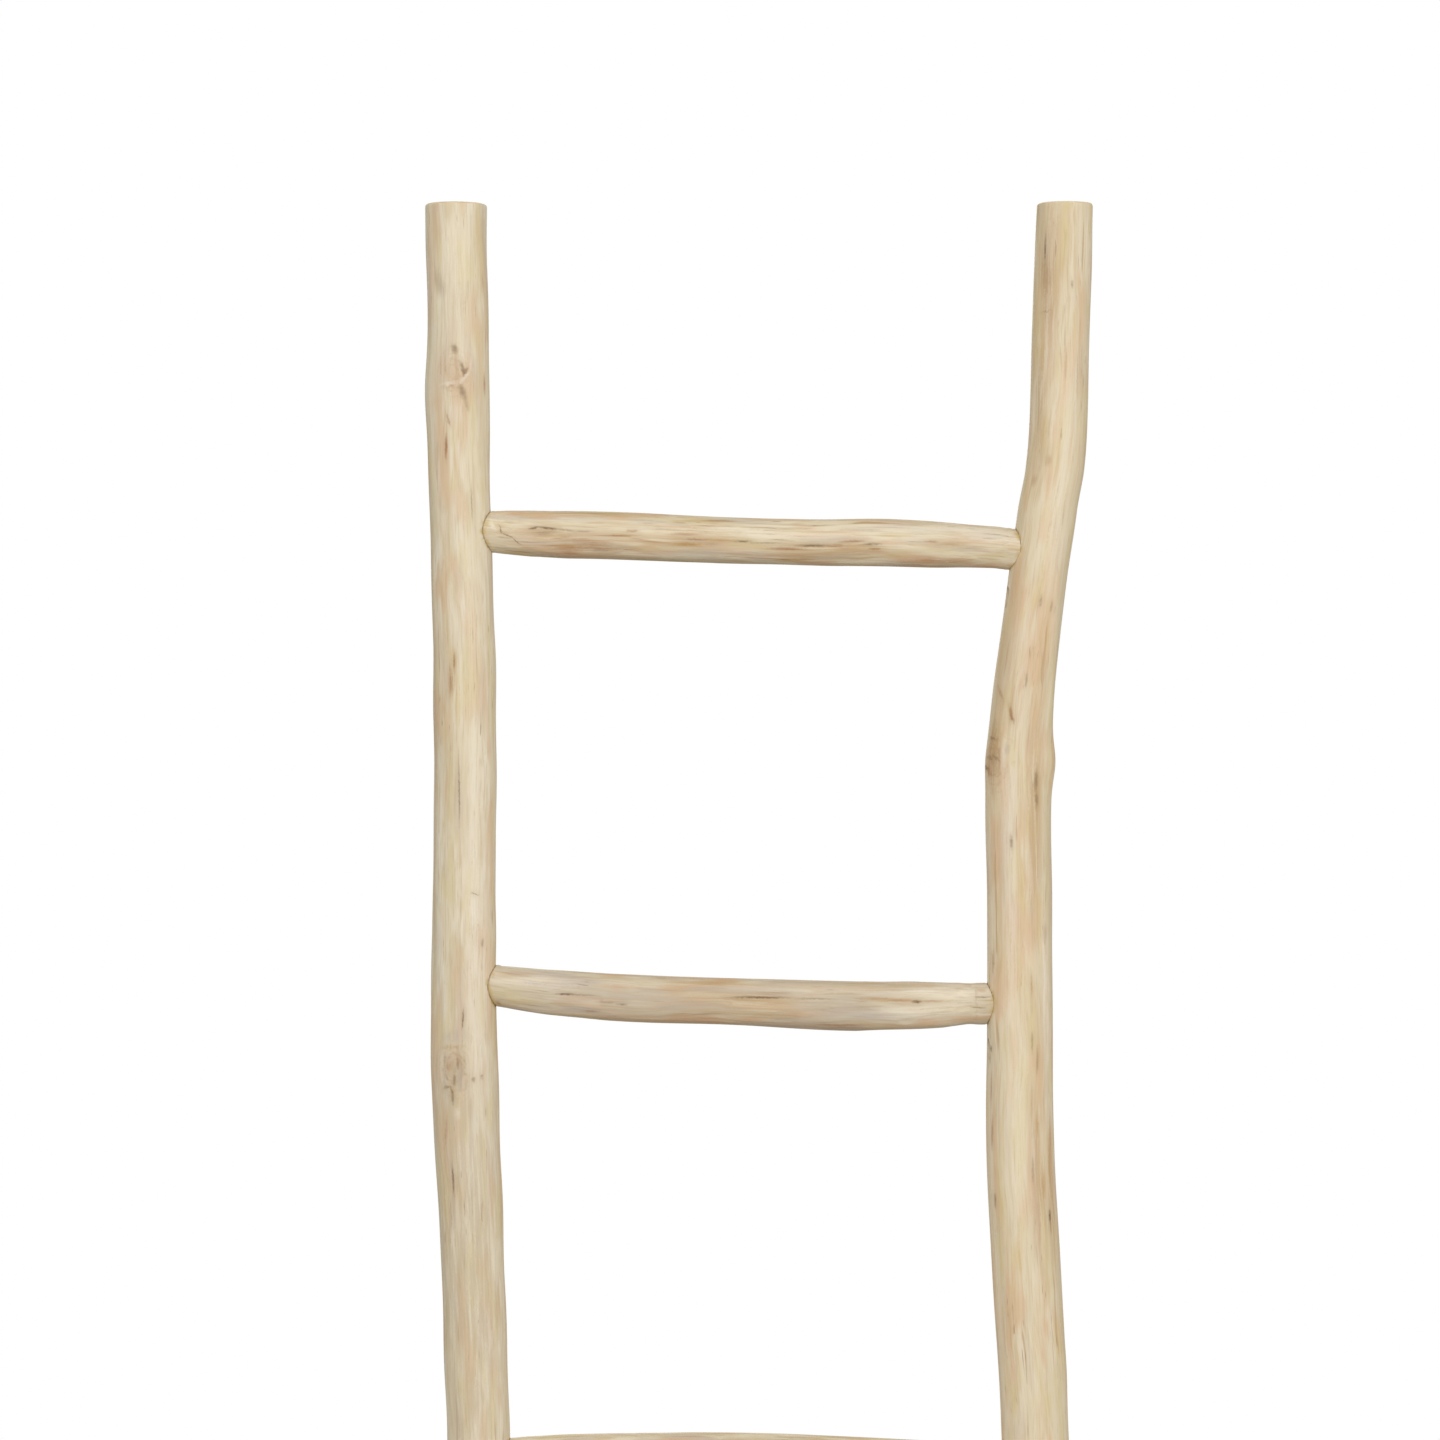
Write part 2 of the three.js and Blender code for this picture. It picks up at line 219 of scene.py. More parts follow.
def ripple(rng, along, angle, amount):
    # A sum of slow waves that wind round the branch: each is up to amount / root of its lobes, times
    # the cosine of lobes * angle + a turn for every length along
    total = 0
    for lobes in windings["lobes"]:
        for _ in range(windings["each"]):
            length = rng.uniform(*windings["length"])
            phase = lobes * angle + 2 * math.pi * along / length + rng.uniform(0, 2 * math.pi)
            total = total + amount / math.sqrt(lobes) * rng.uniform(0.4, 1) * np.cos(phase)
    return total


def pare(rng, radius, middle, along, angle, count, depth, length, reach):
    # Flats of a drawknife: each is a plane that dips under the surface at its own place and turn,
    # deepest halfway along, and takes away what stands in front of it. A plane that lies r off the
    # middle line is r / cosine away from it, of the angle off the plane's own turn.
    for _ in range(count):
        at, turn = rng.uniform(*reach), rng.uniform(-math.pi, math.pi)
        cut, half = rng.uniform(*depth), rng.uniform(*length) / 2
        under = cut * (1 - ((along - at) / half) ** 2)
        facing = np.cos(angle - turn)
        plane = (middle - under) / np.maximum(facing, widestFlat)
        radius = np.where((under > 0) & (facing > widestFlat), np.minimum(radius, plane), radius)
    return radius


def fineRadius(rail, height, angle):
    # The plain radius with ripple and flats, then each knot's eye sunk inside a raised rim, and the
    # whole drawn in by the skin
    rng = np.random.default_rng(rail["seed"])
    middle = railLine(rail, height)[2]
    radius = plainRadius(rail, height, angle) + ripple(rng, height, angle, railFinish["ripple"])
    swollen = radius - middle
    flats = pare(rng, middle + 0 * angle, middle, height, angle, railFinish["flats"],
                 railFinish["flatDepth"], railFinish["flatLength"], (0, ladder["height"]))
    radius = flats + swollen
    for knot in rail["knots"]:
        size, eye = knot[3:]
        across, along = knotPlace(knot, middle, height, angle)
        away = np.hypot(across, knotEye["flatter"] * along) / (knotEye["share"] * size)
        dip = knotEye["dip"] * np.exp(-away ** 2)
        rim = knotEye["rim"] * np.exp(-((away - knotEye["rimAt"]) / knotEye["rimWidth"]) ** 2)
        radius = radius + eye * (rim - dip)
    return radius - railFinish["skin"]


def railPoints(rail, height, angle, radius):
    # Level rings: the middle line, plus radius * cosine to the right and radius * sine to the back
    x, y, _ = railLine(rail, height)
    return np.stack(np.broadcast_arrays(
        x + radius * np.cos(angle), y + radius * np.sin(angle), height), -1)


# Where the frame has its origin, from the plain left rail's own box
probeRows, probeColumns = 700, 72
probeHeight, probeAngle = np.meshgrid(
    np.linspace(0, ladder["height"], probeRows),
    np.arange(probeColumns) * 2 * math.pi / probeColumns, indexing="ij")
probe = railPoints(leftRail, probeHeight, probeAngle, plainRadius(leftRail, probeHeight, probeAngle))
cadLow = np.array(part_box("left_rail")[0]) / mm
shift = np.array([cadLow[0] - probe[..., 0].min(), cadLow[1] - probe[..., 1].min(), 0])
boxMargin = 0.02
boxLow, boxHigh = np.array(cadBox[0]) / mm + boxMargin, np.array(cadBox[1]) / mm - boxMargin
print("frame shift in mm:", np.round(shift, 3))

# Rungs from the floor up: how far the ends lie off the even step, and at the shares of the free
# length in rungShares, the line's rise and depth and the girth over rungGirth. Collars are the bare
# tenon that shows at each end. The bells of lift and grown stand by their distance from the left end.
rungShares = [0.12, 0.31, 0.5, 0.69, 0.88]
rungs = [
    {"node": "rung_1", "ends": (3, -4), "rise": [-2.4, -4.6, -5.5, -4.2, -2],
     "depth": [1.5, 3, 3.5, 2.5, 1], "girth": [0.6, 1.2, 1.5, 1, 0.4], "collars": (3, 4)},
    {"node": "rung_2", "ends": (-3, 4), "rise": [-1.2, -2.6, -2, -0.4, 0.8],
     "depth": [-1, -3, -4, -2.4, -0.4], "girth": [1, 0.4, -0.2, 0.6, 1.2], "collars": (4, 3)},
    {"node": "rung_3", "ends": (-8, -13), "rise": [1.8, 3.6, 4.6, 3.8, 1.6],
     "depth": [0.8, 1.6, 0, -1.8, -1.4], "girth": [-0.6, 0.4, 0.2, -0.4, -1], "collars": (3, 5)},
    {"node": "rung_4", "ends": (6.4, -6.5), "rise": [-4.6, -6, -6, -6.1, -3.4],
     "depth": [-1.6, -3.6, -4, -2.6, -0.8], "girth": [-0.4, 0.6, 0, 1.8, 0.6],
     "collars": (4, 11),
     "lift": [(52, 34, 1.1), (185, 85, 1.1), (325, 34, 0.65)],
     "grown": [(215, 50, 0.3), (305, 24, 0.6), (348, 24, -0.6)]},
    {"node": "rung_5", "ends": (6, -6.3), "rise": [-1.3, -1.4, -0.9, -0.2, 0.9],
     "depth": [1, 2.8, 3.6, 2.6, 0.8], "girth": [0.5, 0.1, -0.8, -0.2, 0.6], "collars": (3, 3),
     "lift": [(88, 58, 1.15), (185, 120, 0.7), (278, 34, 1), (365, 30, 0.65)],
     "grown": [(100, 50, 0.4), (278, 26, 0.4), (342, 26, -0.75)]},
]
rungFinish = {
    "gap": 0.08,  # between tenon and mortise, closed by the glue
    "around": 96,
    "step": 1.3,
    "jointStep": 0.45,  # where the rung meets the rail
    "jointReach": (-6.5, 3),  # mm from the rail's face between which its rings stand close
    "skin": 0.15,
    "tenonRound": 1.5,
    "endRings": (0, 0.3, 0.6, 0.85),
    "liftFrom": (0, 14),  # mm off the rail where the bells set in and are full
    "grownFrom": (4, 16),
    "ripple": 0.16,
    "flats": 26,
    "flatDepth": (0.12, 0.4),
    "flatLength": (50, 180),
    "flatsFrom": 60,  # mm inside the ends
    "shoulder": 0.35,  # how far the whittled end stands out just off the rail
    "shoulderRise": 0.7,
    "shoulderFade": (5, 26),
    "knifeFlats": 15,  # at each whittled end
    "knifeDepth": (0.35, 0.95),
    "knifeLength": (28, 75),
    "knifeReach": (16, 6),  # mm inside either end of the taper
    "seed": 101,  # of the lowest rung, and one more for each above it
    "grainStep": 1000,  # mm between one rung's grain and the next one's
    "jointShows": 3,  # how far round a rail a rung's joint is told, in the rail's radii
}


def rungLine(number):
    # The two points where a rung meets the rails' inner faces, and its bends between them
    rung = rungs[number]
    ends = []
    for rail, lift in zip(rails, rung["ends"]):
        height = ladder["bottomEnd"] + number * ladder["rungPitch"] + lift
        x, y, _ = railLine(rail, height)
        inward = math.pi if rail["side"] > 0 else 0.0
        ends.append(np.array([x - rail["side"] * plainRadius(rail, height, inward), y, height]))
    return {"ends": ends, "at": [0, *rungShares, 1], "rise": [0, *rung["rise"], 0],
            "depth": [0, *rung["depth"], 0], "collars": rung["collars"],
            "girth": [rung["girth"][0], *rung["girth"], rung["girth"][-1]],
            "lift": rung.get("lift", []), "grown": rung.get("grown", [])}


def rungAt(line, x):
    # Middle line, radius and how far the taper has filled out. The line is the straight between the
    # ends with its bends. The radius goes from the tenon's to the branch's by the share
    # 1 - (1 - distance from the collar / whittled) ^ swellPower.
    left, right = line["ends"]
    share = (x - left[0]) / (right[0] - left[0])
    y = left[1] + share * (right[1] - left[1]) + follow(line["at"], line["depth"], share)
    z = left[2] + share * (right[2] - left[2]) + follow(line["at"], line["rise"], share)
    bare = np.minimum(x - left[0] - line["collars"][0], right[0] - x - line["collars"][1])
    swell = 1 - (1 - np.clip(bare / ladder["whittled"], 0, 1)) ** ladder["swellPower"]
    full = (ladder["rungGirth"] + follow(line["at"], line["girth"], np.clip(share, 0, 1))) / 2
    tenon = ladder["mortiseGirth"] / 2 - rungFinish["gap"]
    clear = np.minimum(x - left[0], right[0] - x)
    z = z + ramp(clear, *rungFinish["liftFrom"]) * bells(line["lift"], x - left[0])
    grown = ramp(clear, *rungFinish["grownFrom"]) * bells(line["grown"], x - left[0])
    return y, z, tenon + (full - tenon) * swell + grown, swell


def tubeMesh(name, rings):
    # rings[i, j] is the point at step i along and j around. The first and last rings shrink to a
    # point, so that the ends are closed.
    count, around = rings.shape[:2]
    points = np.concatenate([rings[:1, 0], rings[1:-1].reshape(-1, 3), rings[-1:, 0]])
    here = 1 + np.arange((count - 2) * around).reshape(count - 2, around)
    there = np.roll(here, -1, axis=1)
    quads = np.stack([here[:-1], there[:-1], there[1:], here[1:]], -1).reshape(-1, 4)
    first = np.stack([np.zeros(around, int), there[0], here[0]], -1)
    last = np.stack([np.full(around, len(points) - 1), here[-1], there[-1]], -1)
    corners = np.concatenate([quads.ravel(), first.ravel(), last.ravel()])
    sizes = np.concatenate([np.full(len(quads), 4), np.full(2 * around, 3)])
    starts = np.concatenate([[0], np.cumsum(sizes)[:-1]])
    mesh = bpy.data.meshes.new(name)
    mesh.vertices.add(len(points))
    mesh.vertices.foreach_set("co", (points * mm).astype(np.float32).ravel())
    mesh.loops.add(len(corners))
    mesh.loops.foreach_set("vertex_index", corners.astype(np.int32))
    mesh.polygons.add(len(sizes))
    mesh.polygons.foreach_set("loop_start", starts.astype(np.int32))
    mesh.polygons.foreach_set("use_smooth", np.ones(len(sizes), bool))
    mesh.update(calc_edges=True)
    mesh.validate()
    return mesh


def addObject(name, mesh):
    made = bpy.data.objects.new(name, mesh)
    bpy.context.scene.collection.objects.link(made)
    return made


def meshPoints(mesh):
    # The mesh's points as rows, in mm
    points = np.empty(len(mesh.vertices) * 3, np.float32)
    mesh.vertices.foreach_get("co", points)
    return points.reshape(-1, 3).astype(float) / mm


def addVectors(mesh, name, values):
    # One vector for each point, which the materials read by name; addNumbers does so for numbers
    layer = mesh.attributes.new(name, "FLOAT_VECTOR", "POINT")
    layer.data.foreach_set("vector", values.astype(np.float32).ravel())


def addNumbers(mesh, name, values):
    layer = mesh.attributes.new(name, "FLOAT", "POINT")
    layer.data.foreach_set("value", values.astype(np.float32))


def endRings(shares, roundness):
    # A sawn end: flat rings out from the middle, then a quarter turn over the rounded edge.
    # Gives rows of [share of the radius, mm taken off it, mm from the end].
    flat = [(share, roundness, 0) for share in shares]
    turn = np.linspace(0, math.pi / 2, 6)
    edge = [(1, roundness * (1 - math.sin(t)), roundness * (1 - math.cos(t))) for t in turn]
    return flat + edge


screw = {
    "length": 35,
    "girth": 4,
    "core": 0.8,  # of the threaded shank, as a share of its girth
    "headGirth": 7.5,
    "headHeight": 2.6,
    "headRim": 0.8,
    "neck": 0.5,  # what is shaped stops this far off the head's underside
    "shaftEnds": (0.8, 0.4),
    "underHead": 0.7,  # width of the flat under the head, as a share
    "recess": 1.4,  # depth of the cross
    "recessArm": (0.35, 0.7),  # where the arm's wall starts and ends
    "recessReach": (1.7, 2.3),
    "tip": 5,
    "past": 5,  # beyond the tenon's middle line
    "aim": 21,  # where it meets that line, in from the rail's skin
    "pocketDrop": 35.5,
    "pocketGirth": 8.5,
    "turns": (22, 12),  # of the pocket's mouth round the rail: to the back, to the front
    "threadPitch": 2.2,
    "threadDepth": 0.55,
    "threadStart": 9,
    "threadRunIn": 2,
    "threadSlope": 3.4,
    "around": 40,
    "domeRings": 18,
    "step": 0.36,
}


def cutPlaces(number, end):
    # The mortise's axis and the pocket screw's place at one end of a rung. The screw runs from the
    # pocket's mouth on the rail up to a point of the rung's middle line inside the mortise.
    line, rail = rungLine(number), rails[end]
    face, outward = line["ends"][end], rail["side"]

    def centre(x):
        y, z, _, _ = rungAt(line, np.array(x))
        return np.array([x, y, z])

    outwards = centre(face[0] + outward) - centre(face[0])
    aim = centre(face[0] + outward * screw["aim"])
    height = aim[2] - screw["pocketDrop"]
    angle = (math.pi if end else 0) + screw["turns"][end] * degree
    x, y, _ = railLine(rail, height)
    reach = plainRadius(rail, height, angle)
    mouth = np.array([x + reach * math.cos(angle), y + reach * math.sin(angle), height])
    direction = (aim - mouth) / np.linalg.norm(aim - mouth)
    seat = aim + direction * (screw["past"] - screw["length"])
    return {"face": centre(face[0]), "outwards": outwards / np.linalg.norm(outwards),
            "seat": seat, "direction": direction}


def basis(direction):
    # Two directions square to the one given, so that the three turn right-handed
    side = np.cross([0.0, 1.0, 0.0], direction)
    side /= np.linalg.norm(side)
    return side, np.cross(direction, side)


def revolved(start, direction, profile, around):
    # A surface of revolution: profile gives [radius, distance along direction from start]
    radius, along = np.array(profile, float).T[:, :, None]
    angle = np.arange(around) * 2 * math.pi / around
    side, up = basis(direction)
    return (start + radius[..., None] * (np.cos(angle)[:, None] * side + np.sin(angle)[:, None] * up)
            + along[..., None] * direction)


def drills(end):
    # What is cut out of a rail: its five mortises and its five screw pockets
    cutters, around = [], 72
    mouth, bore = ladder["mortiseGirth"] / 2, screw["pocketGirth"] / 2
    mortise = [(0, -mouth), (mouth, -mouth), (mouth, ladder["mortiseDepth"]),
               (0, ladder["mortiseDepth"])]
    pocket = [(0, -screw["length"]), (bore, -screw["length"]), (bore, ladder["fitGap"]),
              (0, ladder["fitGap"])]
    for number in range(len(rungs)):
        place = cutPlaces(number, end)
        for name, start, way, profile in (("mortise", "face", "outwards", mortise),
                                          ("pocket", "seat", "direction", pocket)):
            rings = revolved(place[start], place[way], profile, around)
            cutters.append(addObject(f"{name}{number}", tubeMesh(f"{name}{number}", rings + shift)))
    return cutters


def solved(source, cutters):
    # The source's mesh with the cutters taken out of it
    for i, cutter in enumerate(cutters):
        cut = source.modifiers.new(f"cut{i}", "BOOLEAN")
        cut.operation, cut.object, cut.solver = "DIFFERENCE", cutter, "MANIFOLD"
    graph = bpy.context.evaluated_depsgraph_get()
    mesh = bpy.data.meshes.new_from_object(source.evaluated_get(graph))
    source.modifiers.clear()
    for cutter in cutters:
        bpy.data.objects.remove(cutter)
    return mesh


def flowRound(rail, middle, height, angle):
    # The fibres' own angle: they part round each knot's eye as a stream parts round a post, pushed
    # aside by across * post ^ 2 / distance ^ 2
    bent = np.array(angle)
    for knot in rail["knots"]:
        turn, _, size, eye = knot[1:]
        post = knotEye["share"] * size * knotEye["post"] * eye
        if not post:
            continue
        across, along = knotPlace(knot, middle, height, angle)
        square = across ** 2 + (knotEye["wake"] * along) ** 2
        near = np.abs(np.angle(np.exp(1j * (angle - turn * degree)))) < math.pi / 2
        push = across * post ** 2 / np.maximum(square, post ** 2)
        bent = bent - np.where(near, push / middle, 0)
    return bent


def makeRail(rail):
    # Rings up the rail at the fine radius, closed by sawn ends, then drilled
    top, rounding, step = ladder["height"], railFinish["edgeRound"], railFinish["step"]
    ends = endRings(railFinish["endRings"], rounding)
    rows = ends + [(1, 0, z) for z in np.arange(rounding + step, top - rounding - 1, step)]
    rows += [(share, off, top - z) for share, off, z in reversed(ends)]
    share, off, height = np.array(rows).T[:, :, None]
    angle = np.arange(railFinish["around"]) * 2 * math.pi / railFinish["around"]
    height, angle = np.broadcast_arrays(height, angle)
    radius = (fineRadius(rail, height, angle) - off) * share
    rings = np.clip(railPoints(rail, height, angle, radius) + shift, boxLow, boxHigh)
    piece = addObject(rail["node"] + "_wood", tubeMesh(rail["node"] + "_raw", rings))
    cut = solved(piece, drills(rails.index(rail)))
    piece.data = cut
    dressRail(rail, cut)
    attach(piece, "root")
    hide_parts(rail["node"])
    print("rail made:", piece.name, len(cut.polygons), "faces")
    return piece


def dressRail(rail, mesh):
    # Gives every point its place in the branch, measured from the pith; the same along the fibres,
    # which bend round the knots; its place by the nearest knot; its place by the nearest mortise's
    # axis, in radii; and its depth below the surface.
    points = meshPoints(mesh) - shift
    height = points[:, 2]
    x, y, middle = railLine(rail, height)
    across, deep = points[:, 0] - x, points[:, 1] - y
    angle, reach = np.arctan2(deep, across), np.hypot(across, deep)
    bent = flowRound(rail, middle, height, angle)
    addVectors(mesh, "grain", np.stack([
        reach * np.cos(bent), reach * np.sin(bent), height + rail["grainStart"]], -1))
    addVectors(mesh, "place", np.stack([across, deep, height], -1))
    under = fineRadius(rail, height, angle) - reach
    under = np.maximum(under, railFinish["edgeRound"] - np.minimum(height, ladder["height"] - height))
    addNumbers(mesh, "under", np.clip(under, 0, railFinish["deepest"]))
    best = np.full(len(points), np.inf)
    place = np.zeros((len(points), 3))
    for knot in rail["knots"]:
        turn, _, size, eye = knot[1:]
        if not eye:
            continue
        sideways, along = knotPlace(knot, middle, height, angle)
        distance = np.hypot(sideways, along) / size
        closer = distance < best
        best = np.where(closer, distance, best)
        mask = (1 - ramp(distance, *knotEye["fades"])) * eye
        facing = np.cos(angle - turn * degree) > 0
        place[closer] = np.stack([sideways / size, along / size, mask * facing], -1)[closer]
    addVectors(mesh, "knot", place)
    best = np.full(len(points), np.inf)
    joint = np.zeros((len(points), 3))
    nearby, inside = railFinish["jointShows"]
    for number in range(len(rungs)):
        there = cutPlaces(number, rails.index(rail))
        offset = points - there["face"]
        side, up = basis(there["outwards"])
        square = np.stack([offset @ side, offset @ up], -1) * 2 / ladder["mortiseGirth"]
        reached = np.linalg.norm(square, axis=1)
        shows = (reached < nearby) & (offset @ there["outwards"] < inside)
        closer = reached < best
        best = np.where(closer, reached, best)
        joint[closer] = np.concatenate([square, shows[:, None]], -1)[closer]
    addVectors(mesh, "joint", joint)


def makeRung(number):
    # Rings along the rung, close together where it meets the rails. Ripple and drawknife flats lie
    # between its whittled ends, and each end has knife flats and a slight shoulder off the rail.
    line = rungLine(number)
    left, right = line["ends"]
    deep = ladder["mortiseDepth"] - ladder["fitGap"]
    low, high = left[0] - deep, right[0] + deep
    ends = endRings(rungFinish["endRings"], rungFinish["tenonRound"])
    plain = rungFinish["tenonRound"] + 1
    deeper, nearer = rungFinish["jointReach"]
    fine, coarse = rungFinish["jointStep"], rungFinish["step"]
    starts = [low + plain, left[0] + deeper, left[0] + nearer, right[0] - nearer, right[0] - deeper]
    stops = starts[1:] + [high - plain]
    steps = [coarse, fine, coarse, fine, coarse]
    stations = np.concatenate([np.arange(*span) for span in zip(starts, stops, steps)])
    rows = [(share, off, low + z) for share, off, z in ends] + [(1, 0, x) for x in stations]
    rows += [(share, off, high - z) for share, off, z in reversed(ends)]
    share, off, x = np.array(rows).T[:, :, None]
    angle = np.arange(rungFinish["around"]) * 2 * math.pi / rungFinish["around"]
    x, angle = np.broadcast_arrays(x, angle)
    y, z, middle, swell = rungAt(line, x)
    rng = np.random.default_rng(rungFinish["seed"] + number)
    radius = middle * (1 + ladder["rungDeeper"] * swell * np.cos(angle) ** 2)
    radius = radius + swell * ripple(rng, x, angle, rungFinish["ripple"])
    flatsReach = (left[0] + rungFinish["flatsFrom"], right[0] - rungFinish["flatsFrom"])
    radius = pare(rng, radius, middle, x, angle, rungFinish["flats"], rungFinish["flatDepth"],
                  rungFinish["flatLength"], flatsReach)
    knifeStart, knifeStop = rungFinish["knifeReach"]
    for rail, end, collar in zip(rails, line["ends"], line["collars"]):
        face, way = end[0], -rail["side"]
        bare = (x - face) * way
        railRadius = railLine(rail, z)[2]
        clear = bare + railRadius - np.sqrt(railRadius ** 2 - (middle * np.cos(angle)) ** 2)
        shoulder = ramp(clear, 0, rungFinish["shoulderRise"])
        shoulder = shoulder * (1 - ramp(bare, *rungFinish["shoulderFade"]))
        radius = radius + rungFinish["shoulder"] * shoulder
        reach = sorted((face + way * (collar + knifeStart),
                        face + way * (collar + ladder["whittled"] - knifeStop)))
        whittled = pare(rng, radius, middle, x, angle, rungFinish["knifeFlats"],
                        rungFinish["knifeDepth"], rungFinish["knifeLength"], reach)
        radius = np.where(bare > collar, whittled, radius)
    radius = (radius - rungFinish["skin"] * swell - off) * share
    rings = np.stack([x, y + radius * np.cos(angle), z + radius * np.sin(angle)], -1) + shift
    mesh = tubeMesh(rungs[number]["node"] + "_wood", np.clip(rings, boxLow, boxHigh))
    piece = addObject(rungs[number]["node"] + "_wood", mesh)
    dressRung(number, line, mesh)
    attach(piece, "root")
    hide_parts(rungs[number]["node"])
    return piece


def dressRung(number, line, mesh):
    # Gives every point its place in the branch, each rung's grain apart from the others', and its
    # place by the nearer rail's pith, in that rail's radii.
    points = meshPoints(mesh) - shift
    x = points[:, 0]
    y, z, _, _ = rungAt(line, x)
    along = x + rungFinish["grainStep"] * number
    for name in ("grain", "place"):
        addVectors(mesh, name, np.stack([points[:, 1] - y, points[:, 2] - z, along], -1))
    best = np.full(len(points), np.inf)
    joint = np.zeros((len(points), 3))
    for rail in rails:
        railX, railY, _ = railLine(rail, points[:, 2])
        sideways, deep = points[:, 0] - railX, points[:, 1] - railY
        rim = plainRadius(rail, points[:, 2], np.arctan2(deep, sideways))
        reached = np.hypot(sideways, deep) / rim
        closer = reached < best
        best = np.where(closer, reached, best)
        shows = reached < rungFinish["jointShows"]
        joint[closer] = np.stack([sideways / rim, deep / rim, shows], -1)[closer]
    addVectors(mesh, "joint", joint)


def makeScrew(number, end):
    # A domed head with a cross recess, a plain neck and a thread wound round the shank: the radius
    # rises and falls with the distance along less the share of a turn.
    place = cutPlaces(number, end)
    head, core = screw["headGirth"] / 2, screw["girth"] / 2 * screw["core"]
    dome = [(r, -screw["headRim"] - (screw["headHeight"] - screw["headRim"]) * (1 - (r / head) ** 2))
            for r in np.linspace(0, head, screw["domeRings"])]
    neck = [(head, -screw["headRim"] / 2), (head, 0), (screw["underHead"] * head, 0), (core, 0.02)]
    shaftStart, shaftStop = screw["shaftEnds"][0], screw["length"] - screw["shaftEnds"][1]
    shaft = [(core, s) for s in np.arange(shaftStart, shaftStop, screw["step"])]
    profile = dome + neck + shaft + [(0, screw["length"])]
    radius, along = np.array(profile).T[:, :, None]
    angle = np.arange(screw["around"]) * 2 * math.pi / screw["around"]
    turnShare = (along / screw["threadPitch"] - angle / (2 * math.pi)) % 1
    ridge = np.maximum(0, 1 - screw["threadSlope"] * np.abs(turnShare - 0.5)) * screw["threadDepth"]
    threaded = ramp(along, screw["threadStart"], screw["threadStart"] + screw["threadRunIn"])
    taper = np.clip((screw["length"] - along) / screw["tip"], 0, 1)
    grown = np.where(along > screw["neck"], (radius + ridge * threaded) * taper, radius)
    u, v = grown * np.cos(angle), grown * np.sin(angle)
    arm = 1 - ramp(np.minimum(np.abs(u), np.abs(v)), *screw["recessArm"])
    recess = screw["recess"] * arm * (1 - ramp(grown, *screw["recessReach"]))
    recess = recess * (along < -screw["neck"])
    side, up = basis(place["direction"])
    rings = (place["seat"] + u[..., None] * side + v[..., None] * up
             + (along + recess)[..., None] * place["direction"])
    name = f"screw_{number + 1}_{('left', 'right')[end]}"
    piece = addObject(name + "_steel", tubeMesh(name + "_steel", rings + shift))
    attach(piece, "root")
    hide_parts(name)
    return piece


railPieces = [makeRail(rail) for rail in rails]
rungPieces = [makeRung(number) for number in range(len(rungs))]
print("rungs made:", len(rungPieces))
screwPieces = [makeScrew(number, end) for number in range(len(rungs)) for end in (0, 1)]
print("screws made:", len(screwPieces))


def shade(red, green, blue):
    # A colour as it is seen on screen, 0 to 255, as linear light
    seen = np.array([red, green, blue]) / 255
    linear = np.where(seen <= 0.04045, seen / 12.92, ((seen + 0.055) / 1.055) ** 2.4)
    return (*linear, 1)


def node(tree, kind, inputs=None, **settings):
    made = tree.nodes.new("ShaderNode" + kind)
    for key, value in settings.items():
        setattr(made, key, value)
    for key, value in (inputs or {}).items():
        if isinstance(value, bpy.types.NodeSocket):
            tree.links.new(value, made.inputs[key])
        else:
            made.inputs[key].default_value = value
    return made


def maths(tree, operation, *values):
    return node(tree, "Math", dict(enumerate(values)), operation=operation).outputs[0]


def blend(tree, share, first, second, mode="MIX"):
    # Slots 6 and 7 of a Mix node are its two colours
    made = node(tree, "Mix", {0: share, 6: first, 7: second}, data_type="RGBA", blend_type=mode)
    return made.outputs[2]


def fade(tree, value, low, high, start=0.0, stop=1.0):
    return node(tree, "MapRange", {"Value": value, "From Min": low, "From Max": high,
                                   "To Min": start, "To Max": stop},
                interpolation_type="SMOOTHSTEP").outputs[0]


def attribute(tree, name):
    return node(tree, "Attribute", attribute_name=name).outputs["Vector"]


def vectors(tree, operation, *values):
    made = node(tree, "VectorMath", dict(enumerate(values)), operation=operation)
    return made.outputs["Value" if operation == "LENGTH" else "Vector"]


def cloud(tree, source, scale, detail, output="Fac"):
    return node(tree, "TexNoise", {"Vector": source, "Scale": scale, "Detail": detail}).outputs[output]


def shaken(tree, source, noise, amount):
    # Moved by noise to either side alike: source + amount * (noise - a half)
    moved = vectors(tree, "MULTIPLY_ADD", noise, amount, source)
    return vectors(tree, "SUBTRACT", moved, tuple(part / 2 for part in amount))


def stretched(tree, source, scale, detail, roughness=0.5, offset=(0, 0, 0)):
    # Noise drawn out along the branch: scale is in features per mm across and along
    placed = node(tree, "Mapping", {"Vector": source, "Location": offset,
                                    "Scale": (scale[0], scale[0], scale[1])}).outputs[0]
    return node(tree, "TexNoise", {"Vector": placed, "Scale": 1.0, "Detail": detail,
                                   "Roughness": roughness}).outputs["Fac"]


def emptyTree(owner):
    # The owner's node tree, rid of the nodes it starts with
    owner.use_nodes = True
    owner.node_tree.nodes.clear()
    return owner.node_tree


